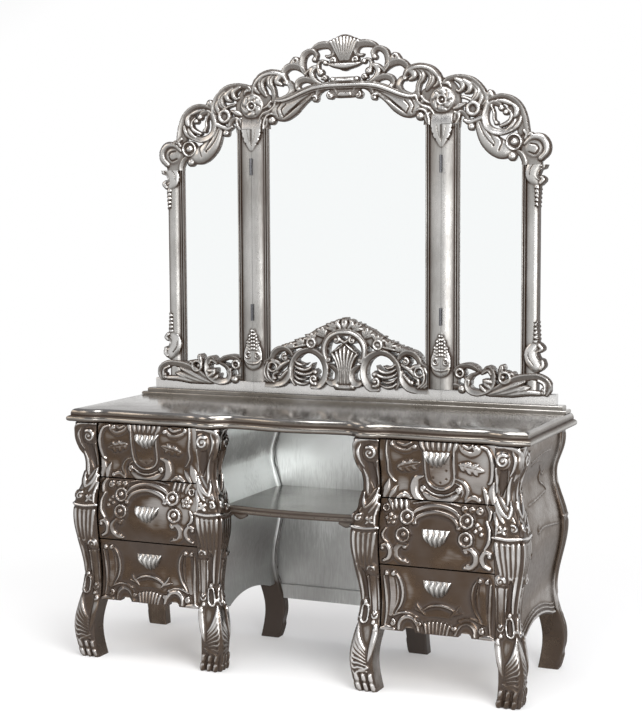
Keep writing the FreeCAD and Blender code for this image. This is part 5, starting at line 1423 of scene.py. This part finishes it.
def front_leg_carving(c):
    """Volute and leaf at the top, acanthus block, reeds, scroll and band, knee leaves and toes."""
    def draw(at, way):
        def line(points, rise, form=half_round, floor=0.0):
            c.stroke([(at(u), v, w) for u, v, w in points], rise, form, floor)

        def hollow(points, depth):
            c.groove([(at(u), v, w) for u, v, w in points], depth)

        def volute(u, v, radius, half, rise, start, turn, turns):
            c.spiral(at(u), v, radius, half, rise, start, turn * way, turns)

        hollow([(-8, 690, 12), (-10, 650, 16), (-16, 618, 8)], 7)
        line([(-14, 722, 24), (-12, 712, 24)], 5)
        volute(-13, 716, 25, 7, 10, 60, 1, 1.5)
        line([(-6, 752, 4), (16, 750, 8), (34, 738, 10), (40, 714, 11), (38, 686, 9), (30, 660, 4)],
             10, cupped)
        line([(14, 742, 3), (24, 720, 7), (22, 694, 6), (14, 672, 3)], 7)
        line([(-36, 754, 4), (0, 755, 4), (36, 754, 4)], 5)
        line([(20, 668, 4), (16, 640, 8), (14, 608, 9), (10, 590, 6)], 6)
        line([(-34, 694, 4), (-33, 660, 5), (-34, 620, 3)], 5)
        line([(0, 504, 36), (0, 530, 35), (-6, 566, 24), (-22, 606, 6)], 6, strap)
        line([(-34, 612, 3), (-26, 588, 7), (-12, 566, 9), (6, 552, 6)], 6, half_round, 5)
        line([(-36, 592, 3), (-28, 570, 7), (-16, 550, 8), (-8, 538, 5)], 5, half_round, 5)
        line([(-36, 566, 3), (-32, 546, 6), (-28, 524, 6), (-30, 504, 4)], 5, half_round, 5)
        line([(24, 598, 3), (22, 574, 7), (10, 552, 7)], 6, half_round, 3)
        volute(20, 522, 17, 6, 13, 110, -1, 1.3)
        for turn in range(4):
            angle = 0.6 + turn * math.pi / 2
            reach_u, reach_v = 15 * math.cos(angle), 15 * math.sin(angle)
            line([(-13, 516, 3), (-13 + 0.6 * reach_u, 516 + 0.6 * reach_v, 6),
                  (-13 + reach_u, 516 + reach_v, 2)], 6, half_round, 6)
        line([(-38, 496, 6), (0, 492, 7), (38, 496, 6)], 12)
        hollow([(-38, 484, 3), (0, 482, 3), (38, 484, 3)], 4)
        for k in range(5):
            top = -30 + 14.5 * k
            line([(top, 480, 7.5), (top * 0.92 + 2, 440, 7.2), (top * 0.8 + 6, 396, 6),
                  (top * 0.72 + 8, 366, 4.5)], 6)
        line([(-18, 366, 21), (-17, 372, 21)], 7)
        volute(-18, 370, 19, 6, 11, 0, 1, 1.2)
        hollow([(-36, 352, 2), (-18, 352, 3), (2, 352, 2)], 4)
        line([(-34, 348, 3), (-33, 300, 4), (-34, 246, 3)], 5)
        line([(-16, 344, 11), (-16, 300, 12), (-17, 248, 10)], 4.5, strap)
        line([(0, 348, 3), (1, 300, 4), (0, 248, 3)], 6)
        hollow([(13, 366, 5), (14, 310, 7), (13, 256, 5)], 4)
        line([(28, 384, 6), (27, 330, 7), (29, 276, 6)], 7)
        line([(4, 388, 4), (12, 378, 6), (20, 384, 4)], 6)
        line([(8, 258, 5), (26, 259, 5), (31, 234, 5), (26, 209, 5), (9, 210, 5), (5, 234, 5), (8, 258, 5)],
             9)
        c.boss(at(18), 268, 10, 10)
        c.boss(at(-18), 230, 15, 8)
        hollow([(-28, 236, 2), (-18, 226, 3), (-8, 236, 2)], 4)
        c.boss(at(-16), 208, 9, 8)
        c.boss(at(34), 222, 9, 8)
        line([(-26, 196, 10), (-30, 160, 12), (-28, 118, 9), (-22, 92, 4)], 6)
        volute(-24, 190, 12, 5, 9, 90, 1, 1.2)
        for k in range(8):
            low = 18 * k
            line([(38, 212 - low, 3), (29, 180 - low, 6.5), (12, 150 - 0.7 * low, 6.5),
                  (-12 - k, max(124 - 0.5 * low, 60), 3)], 7)
        line([(-20, 74, 5), (0, 66, 7), (22, 74, 5)], 6)
        for toe in (-25, 0, 25):
            line([(toe, 50, 9), (toe, 38, 10.5), (toe, 32, 9)], 9)
            line([(toe * 1.04, 21, 11), (toe * 1.06, 12, 11.5), (toe * 1.06, 8, 11)], 11)

    carve_corner(draw)


def rear_leg_carving(c):
    """Edge ridges, a ledge, a scroll and a few knee lines."""
    def draw(at, way):
        def line(points, rise, form=half_round):
            c.stroke([(at(u), v, w) for u, v, w in points], rise, form)

        line([(-34, 752, 4), (0, 752, 5), (34, 752, 4)], 4)
        c.spiral(at(6), 590, 16, 4.5, 5, 90, way, 1.4)
        line([(-36, 486, 5), (0, 485, 5), (36, 486, 5)], 5)
        for across in (28, 16, 4):
            line([(across, 740, 4), (across - 2, 600, 4), (across - 2, 490, 4)], 4)
            line([(across, 470, 4), (across - 2, 380, 4), (across, 240, 4)], 4)
        line([(-20, 470, 3), (-16, 380, 3.5), (-20, 260, 3)], 4)
        for tip in (-22, 0, 22):
            line([(tip * 0.4, 205, 3), (tip * 0.8, 150, 8), (tip, 70, 3)], 4, veined)
        for toe in (-25, 0, 25):
            line([(toe, 40, 9), (toe * 1.05, 18, 11), (toe * 1.05, 8, 11)], 5)

    carve_corner(draw)


class TABLE_OT_legs(bpy.types.Operator):
    """Eight carved cabriole legs"""

    bl_idname = "dressing_table.legs"
    bl_label = "Legs"

    def execute(self, context):
        drawings = {}
        for row, draw, pitch in (("front", front_leg_carving, sizes().leg_pitch),
                                 ("rear", rear_leg_carving, sizes().plain_pitch)):
            drawings[row] = Carving((-LEG_FACE / 2, 3.5 * LEG_FACE), (0, LEG_TOP), pitch)
            drawings[row].contrast = 1.6
            draw(drawings[row])
        for side, sign in SIDES:
            for post, away in (("outer", sign), ("inner", -sign)):
                for row in ("front", "rear"):
                    name = f"{side}_{post}_{row}_leg"
                    start = sign * PEDESTAL + away * OPENING
                    # The inner rear legs take the bright kneehole silver as painted light
                    kept = "rear_leg_silver" if (post, row) == ("inner", "rear") else "leg_silver"
                    piece = self.leg(name + "_carving", drawings[row], start, away, row == "front", kept)
                    settle(piece, "table", "silver_leaf", name)
        return {"FINISHED"}

    def leg(self, name, c, start, away, front, finish_name):
        """A closed tube round the leg's square section; u runs front, side, back and drawer side."""
        uu, vv = c.uu[:-1], c.vv[:-1]
        turn = (uu + LEG_FACE / 2) / LEG_FACE
        face = np.clip(np.floor(turn), 0, 3)
        along = 2 * (turn - face) - 1
        one = np.ones(along.shape)
        p = np.choose(face.astype(int), [along, one, -along, -one])
        q = np.choose(face.astype(int), [one, -along, -one, along])
        power = np.where((p > 0) & (q > 0), 8.0, 20.0)
        ease = (np.abs(p) ** power + np.abs(q) ** power) ** (-1 / power)
        p, q = p * ease, q * ease
        free = LEG_HOLLOW(vv)
        trim = 0 if front else REAR_TRIM
        x = start + away * (free + (p + 1) / 2 * (LEG_WIDTH(vv) - free))
        out = free + (q + 1) / 2 * (LEG_DEPTH(vv) - trim - free)
        y = FRONT_PLANE - out if front else REAR_PLANE + out
        plain = np.stack([x, y, vv], -1)
        wrapped = np.concatenate([plain[-1:], plain, plain[:1]])
        normal = normals_of(wrapped)[1:-1]
        middle = plain.mean(0, keepdims=True)
        if ((plain - middle) * normal).sum(-1).mean() < 0:
            normal = -normal
        points = plain + normal * c.eased_height()[:-1, :, None]
        points[..., 2] = np.clip(points[..., 2], 0, LEG_TOP)
        faces = tube_faces(np.arange(uu.size).reshape(uu.shape).T)
        return make_piece(name, points.reshape(-1, 3), faces, c.wear_and_painted_light()[:-1].ravel(), finish_name)


# Case
TOP_REACH = 765
TOP_BACK = 255.0
TOP_KNOTS = ((0, -240), (186.5, -222), (263.5, -255), (340.5, -236), (480, -243), (619.5, -236),
             (696.5, -255), (765, -248))
PANEL_FOOT = 185
PANEL_MIDDLE = 7.5
PANEL_INSET = 9
PANEL_THICKNESS = 16
PANEL_GAP = 0.3
SHELF_HALF = 258


def top_front(x):
    """The serpentine front edge of the top, by smooth S curves between level points."""
    across = np.abs(x)
    y = np.full(np.shape(across), float(TOP_KNOTS[-1][1]))
    for (x0, y0), (x1, y1) in zip(TOP_KNOTS, TOP_KNOTS[1:]):
        t = np.clip((across - x0) / (x1 - x0), 0, 1)
        rise = np.where(t < 0.5, 2 * t * t, 1 - 2 * (1 - t) ** 2)
        y = np.where((across >= x0) & (across <= x1), y0 + (y1 - y0) * rise, y)
    return y


class TABLE_OT_top(bpy.types.Operator):
    """Serpentine top with a bead and a thumb moulding"""

    bl_idname = "dressing_table.top"
    bl_label = "Top"

    def execute(self, context):
        bead = [(9 - 9 * math.cos(a), 769 + 9 * math.sin(a)) for a in np.linspace(-1.45, 1.3, 11)]
        thumb = [(11.5, 779.5), (11, 780.5), (11, 785), (12, 790), (15, 795), (20, 798.5), (27, 800)]
        profile = [(12, 760)] + bead + thumb
        x = np.linspace(-TOP_REACH, TOP_REACH, 307)
        steady = 690
        rings = []
        for inset, z in profile:
            limit = TOP_REACH - inset
            share = (limit - steady) / (TOP_REACH - steady)
            end = np.sign(x) * (steady + (np.abs(x) - steady) * share)
            squeezed = np.where(np.abs(x) > steady, end, x)
            front = np.stack([squeezed, top_front(x) + inset, np.full(x.shape, z)], -1)
            depth = np.linspace(front[-1, 1], TOP_BACK, 18)[1:]
            right = np.stack([np.full(depth.shape, limit), depth, np.full(depth.shape, z)], -1)
            left = right[::-1] * (-1, 1, 1)
            rings.append(np.concatenate([front, right, left]))
        points = np.concatenate(rings)
        index = np.arange(len(points)).reshape(len(rings), -1)
        # Painted light and shade on the moulding: a painted highlight along the crown of the bead, painted
        # shade in its quirks, under the bead and on the lower curve of the thumb
        bead_painted_light = [1.1 * math.sin(math.pi * k / 10) - 0.9 for k in range(len(bead))]
        thumb_painted_shade = [-1.0, -0.9, -0.5, -0.1, 0.1, 0, 0]
        wear_and_painted_light = np.repeat([-0.9] + bead_painted_light + thumb_painted_shade, index.shape[1])
        piece = make_piece("top_moulding", points, tube_faces(index), wear_and_painted_light, "case_silver", sharp_from=50)
        settle(piece, "table", "silver_leaf", "top_board")
        return {"FINISHED"}


def side_panel_carving(c):
    """Thin scrolled lines, sprigs beside the front leg and a triple line over the arched foot."""
    c.stroke([(-84, 690, 1.6), (0, 701, 1.8), (60, 705, 1.8), (104, 702, 1.4)], 2)
    c.stroke([(-70, 676, 1.4), (-20, 684, 1.6), (40, 676, 1.4)], 1.6)
    c.stroke([(30, 664, 2), (52, 648, 4), (44, 626, 3), (64, 608, 4), (90, 598, 3), (110, 582, 2)],
             3, half_round)
    c.stroke([(60, 640, 2), (80, 632, 3.5), (102, 640, 2)], 2.6)
    c.stroke([(-92, 564, 1.6), (0, 568, 1.8), (100, 577, 1.6)], 2)
    c.stroke([(-60, 478, 2), (0, 486, 2.4), (90, 478, 2.2), (160, 470, 1.6)], 2.6)
    c.spiral(-46, 486, 12, 3, 3, 270, -1, 1.4)
    for low in (404, 468, 530, 596, 660, 706):
        c.leaf([(-160, low, 5), (-142, low + 14, 11), (-112, low + 20, 3)], 4, 3)
        c.stroke([(-166, low - 12, 2), (-150, low + 2, 4), (-146, low + 26, 2)], 3.4)
    for lift, half, rise in ((7, 4.5, 5), (20, 3, 3.6), (31, 2.2, 3)):
        arch = []
        for y in np.linspace(-164, 178, 13):
            fall = 1 - ((y - PANEL_MIDDLE) / 145) ** 2
            arch.append((y, PANEL_FOOT + 24 * max(fall, -0.12) + lift, half))
        c.stroke(arch, rise)


class TABLE_OT_side_panels(bpy.types.Operator):
    """Outer side panels with their line carving and arched feet"""

    bl_idname = "dressing_table.side_panels"
    bl_label = "Side panels"

    def execute(self, context):
        c = Carving((FRONT_PLANE + PANEL_GAP, REAR_PLANE - PANEL_GAP), (PANEL_FOOT, LEG_TOP - PANEL_GAP),
                    sizes().leg_pitch)
        side_panel_carving(c)
        c.notch(PANEL_MIDDLE, -241, 450)
        uu, vv = snapped(c)
        for side, sign in SIDES:
            x = sign * (PEDESTAL + OPENING + LEG_WIDTH(vv) - PANEL_INSET + c.height)
            front = np.stack([x, uu, vv], -1)
            back = np.stack([x - sign * (PANEL_THICKNESS + c.height), uu, vv], -1)
            name = f"{side}_outer_panel_carving"
            piece = plate_piece(name, c, front, back, "side_silver", open_work=True)
            settle(piece, "table", "silver_leaf", f"{side}_outer_side_panel")
        return {"FINISHED"}


def shelf_front(x):
    """The front edge of the kneehole shelf, bowed forward between straight shoulders."""
    return -172 - 22 * (1 - np.clip(x / 262, -1, 1) ** 2)


class TABLE_OT_shelf_edge(bpy.types.Operator):
    """Moulding along the kneehole shelf, with a scroll and a plaque under each end"""

    bl_idname = "dressing_table.shelf_edge"
    bl_label = "Shelf edge"

    def execute(self, context):
        c = Carving((-SHELF_HALF, SHELF_HALF), (474, 515.5), sizes().carving_pitch, solid=False)
        c.base = -0.3
        nosing = 5 * np.sqrt(np.clip(1 - ((c.vv - 498.5) / 6) ** 2, 0, 1))
        bead = 2.5 * np.sqrt(np.clip(1 - ((c.vv - 510.5) / 4.5) ** 2, 0, 1))
        c.height = np.maximum(nosing, bead)
        c.cover = c.vv - 492.5
        for way in (-1, 1):
            c.boss(way * 246, 484, 8, 6)
            c.stroke([(way * 242, 488, 4), (way * 226, 484, 7), (way * 208, 490, 4)], 6)
            c.stroke([(way * 198, 489, 5), (way * 178, 484, 8), (way * 158, 489, 5)], 5, strap)
        uu, vv = snapped(c)
        edge = shelf_front(uu)
        front = np.stack([uu, edge - 1 - c.eased_height(), vv], -1)
        back = np.stack([uu, edge + 5, vv], -1)
        piece = plate_piece("shelf_edge_moulding", c, front, back, "case_silver", open_work=True)
        settle(piece, "table", "silver_leaf")
        return {"FINISHED"}


class TABLE_OT_panel_pins(bpy.types.Operator):
    """Pins round the back panels"""

    bl_idname = "dressing_table.panel_pins"
    bl_label = "Panel pins"

    def execute(self, context):
        points = []
        edge = 0.014
        for name in ("left_back_panel", "right_back_panel"):
            low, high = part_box(name)
            y = high[1]
            across = np.linspace(low[0] + edge, high[0] - edge, 4)
            upward = np.linspace(low[2] + edge, high[2] - edge, 6)
            points += [(x, y, z) for x in across for z in (upward[0], upward[-1])]
            points += [(x, y, z) for x in (across[0], across[-1]) for z in upward[1:-1]]
        piece = pin_recipe().made("panel_pins", points, Diameter=sizes().pin_size)
        piece.data.shade_smooth()
        settle(piece, "table", "hinge_steel")
        return {"FINISHED"}


# Stage
class TABLE_OT_stage(bpy.types.Operator):
    """Floor, light, world and camera"""

    bl_idname = "dressing_table.stage"
    bl_label = "Stage"

    def execute(self, context):
        scene = context.scene
        scene.view_settings.view_transform = "Standard"
        self.floor()
        self.world(scene)
        self.lamp("key_softbox", (2.8, -2.7, 2.7), (0.2, 0, 0.8), size=1.8, power=125)
        self.lamp("side_softbox", (-3.6, -2.4, 3.4), (0, 0, 0.9), size=2.2, power=35, tint=(1, 0.88, 0.76))
        self.lamp("top_softbox", (0.4, -0.8, 4.6), (0, 0, 0.6), size=3.0, power=145)
        self.lamp("front_softbox", (1.1, -4.4, 0.9), (0, 0, 0.5), size=1.6, power=30)
        self.camera(scene)
        return {"FINISHED"}

    def floor(self):
        """A pale floor that keeps the shadow near the object and fades to white further off."""
        shading = Shading("pale_floor")
        tint = finish().floor
        tints = [(0.3, blend(tint, BLACK, 0.01)), (0.7, tint)]
        shading.coat("Base Color", shading.ramp(shading.noise(1.5, 2), tints))
        shading.coat("Roughness", 0.9)
        shading.coat("Specular IOR Level", 0.1)
        ray = shading.add("ShaderNodeLightPath")
        seen = shading.math("MAXIMUM", ray.outputs["Is Camera Ray"], ray.outputs["Is Glossy Ray"])
        seen = shading.math("MAXIMUM", seen, ray.outputs["Is Transmission Ray"])
        length = shading.add("ShaderNodeVectorMath", operation="LENGTH")
        shading.put(length.inputs[0], shading.place)
        fade = shading.spread(length.outputs["Value"], 0.5, 2.0, 0.25, 1.0)
        white = shading.add("ShaderNodeEmission")
        white.inputs["Strength"].default_value = 1.0
        mix = shading.add("ShaderNodeMixShader")
        shading.put(mix.inputs["Fac"], shading.product(seen, fade))
        shading.put(mix.inputs[1], shading.shader.outputs["BSDF"])
        shading.put(mix.inputs[2], white.outputs["Emission"])
        shading.put(shading.tree.nodes["Material Output"].inputs["Surface"], mix.outputs["Shader"])
        mesh = bpy.data.meshes.new("floor")
        reach, low = 40.0, -0.0005
        corners = [(-reach, -reach, low), (reach, -reach, low), (reach, reach, low), (-reach, reach, low)]
        mesh.from_pydata(corners, [], [(0, 1, 2, 3)])
        mesh.materials.append(shading.material)
        floor = bpy.data.objects.new("floor", mesh)
        bpy.context.scene.collection.objects.link(floor)

    def world(self, scene):
        """A white horizon under a ceiling that is dimmer, and lower on the left."""
        world = bpy.data.worlds.new("studio")
        scene.world = world
        world.use_nodes = True
        world.node_tree.nodes.clear()
        sky = NodeKit(world.node_tree)
        way = sky.parts(sky.add("ShaderNodeTexCoord").outputs["Generated"])
        left = sky.add("ShaderNodeMath", operation="MULTIPLY_ADD", use_clamp=True)
        for socket, value in zip(left.inputs, (way["X"], -0.7, -0.3)):
            sky.put(socket, value)
        height = sky.total(way["Z"], left.outputs[0])
        background = sky.add("ShaderNodeBackground")
        sky.put(background.inputs["Color"], sky.ramp(height, [(0.2, WHITE), (0.62, (0.38, 0.38, 0.4))]))
        output = sky.add("ShaderNodeOutputWorld")
        sky.put(output.inputs["Surface"], background.outputs["Background"])

    def lamp(self, name, place, target, size, power, tint=WHITE):
        """A square soft light in metres and watts, turned to a point."""
        data = bpy.data.lights.new(name, "AREA")
        data.shape = "SQUARE"
        data.size = size
        data.energy = power
        data.color = tint
        lamp = bpy.data.objects.new(name, data)
        lamp.location = place
        lamp.rotation_euler = (Vector(target) - Vector(place)).to_track_quat("-Z", "Y").to_euler()
        bpy.context.scene.collection.objects.link(lamp)

    def camera(self, scene):
        """The photograph's camera: angles in degrees, distances in metres, focal length in pixels."""
        bearing, height, roll = (math.radians(a) for a in (23.8458, 5.5285, -0.2826))
        distance, aim = 4.9597, Vector((0.0145, 0, 0.9471))
        level = math.cos(height)
        back = Vector((math.sin(bearing) * level, -math.cos(bearing) * level, math.sin(height)))
        right = (-back).cross(Vector((0, 0, 1))).normalized()
        up = right.cross(-back)
        cosine, sine = math.cos(roll), math.sin(roll)
        right, up = cosine * right + sine * up, cosine * up - sine * right
        focal_length, picture_height = 1590.58, 728
        data = bpy.data.cameras.new("camera")
        data.sensor_width = 36
        data.lens = focal_length * data.sensor_width / picture_height
        camera = bpy.data.objects.new("camera", data)
        turn = Matrix((right, up, back)).transposed().to_4x4()
        camera.matrix_world = Matrix.Translation(aim + back * distance) @ turn
        bpy.context.scene.collection.objects.link(camera)
        scene.camera = camera


# Plain CAD pieces
class TABLE_OT_plain_pieces(bpy.types.Operator):
    """Finishes for the pieces whose CAD shape is shown as it is"""

    bl_idname = "dressing_table.plain_pieces"
    bl_label = "Plain pieces"

    def execute(self, context):
        for name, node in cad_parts.items():
            node.data.materials.clear()
            node.data.materials.append(material(self.finish_of(name)))
        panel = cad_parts["kneehole_back_panel"].data
        panel.materials.append(material("plain_board"))
        for face in panel.polygons:
            face.material_index = 1 if face.normal.y > 0.5 else 0
        return {"FINISHED"}

    def finish_of(self, name):
        """The finish of a piece by the end of its name."""
        endings = (
            ("_glass", "mirror_glass"), ("_backing", "plain_board"), ("_leaves", "hinge_steel"),
            ("_drawer_box", "drawer_wood"), ("_dust_boards", "plain_board"),
            ("_drawer_front", "drawer_silver"), ("_drawer_pull", "pull_silver"),
            ("_inner_side_panel", "knee_silver"),
            ("_outer_side_panel", "side_silver"), ("kneehole_back_panel", "knee_silver"),
            ("_back_panel", "plain_board"), ("_leg", "leg_silver"), ("top_board", "case_silver"),
            ("kneehole_shelf", "case_silver"), ("mirror_plinth", "case_silver"),
        )
        for ending, finish_name in endings:
            if name.endswith(ending):
                return finish_name
        return "frame_silver"


class TABLE_PT_panel(bpy.types.Panel):
    """Lists the pieces and the stage"""

    bl_label = "Dressing Table"
    bl_idname = "TABLE_PT_panel"
    bl_space_type = "VIEW_3D"
    bl_region_type = "UI"
    bl_category = "Dressing Table"

    def draw(self, context):
        for step in STEPS:
            self.layout.operator(step.bl_idname)
        for group in (context.scene.table_sizes, context.scene.table_finish):
            box = self.layout.box()
            for name in group.__annotations__:
                box.prop(group, name)


STEPS = (TABLE_OT_plain_pieces, TABLE_OT_top, TABLE_OT_legs, TABLE_OT_side_panels, TABLE_OT_shelf_edge,
         TABLE_OT_drawer_fronts, TABLE_OT_pulls, TABLE_OT_mirror_frame, TABLE_OT_panel_pins, TABLE_OT_stage)
CLASSES = (TableSizes, TableFinish, TABLE_PT_panel) + STEPS


def register():
    for part in CLASSES:
        bpy.utils.register_class(part)
    bpy.types.Scene.table_sizes = bpy.props.PointerProperty(type=TableSizes)
    bpy.types.Scene.table_finish = bpy.props.PointerProperty(type=TableFinish)


def unregister():
    del bpy.types.Scene.table_finish
    del bpy.types.Scene.table_sizes
    for part in reversed(CLASSES):
        bpy.utils.unregister_class(part)


def main():
    register()
    for step in STEPS:
        getattr(bpy.ops.dressing_table, step.bl_idname.partition(".")[2])()


if __name__ == "__main__":
    main()
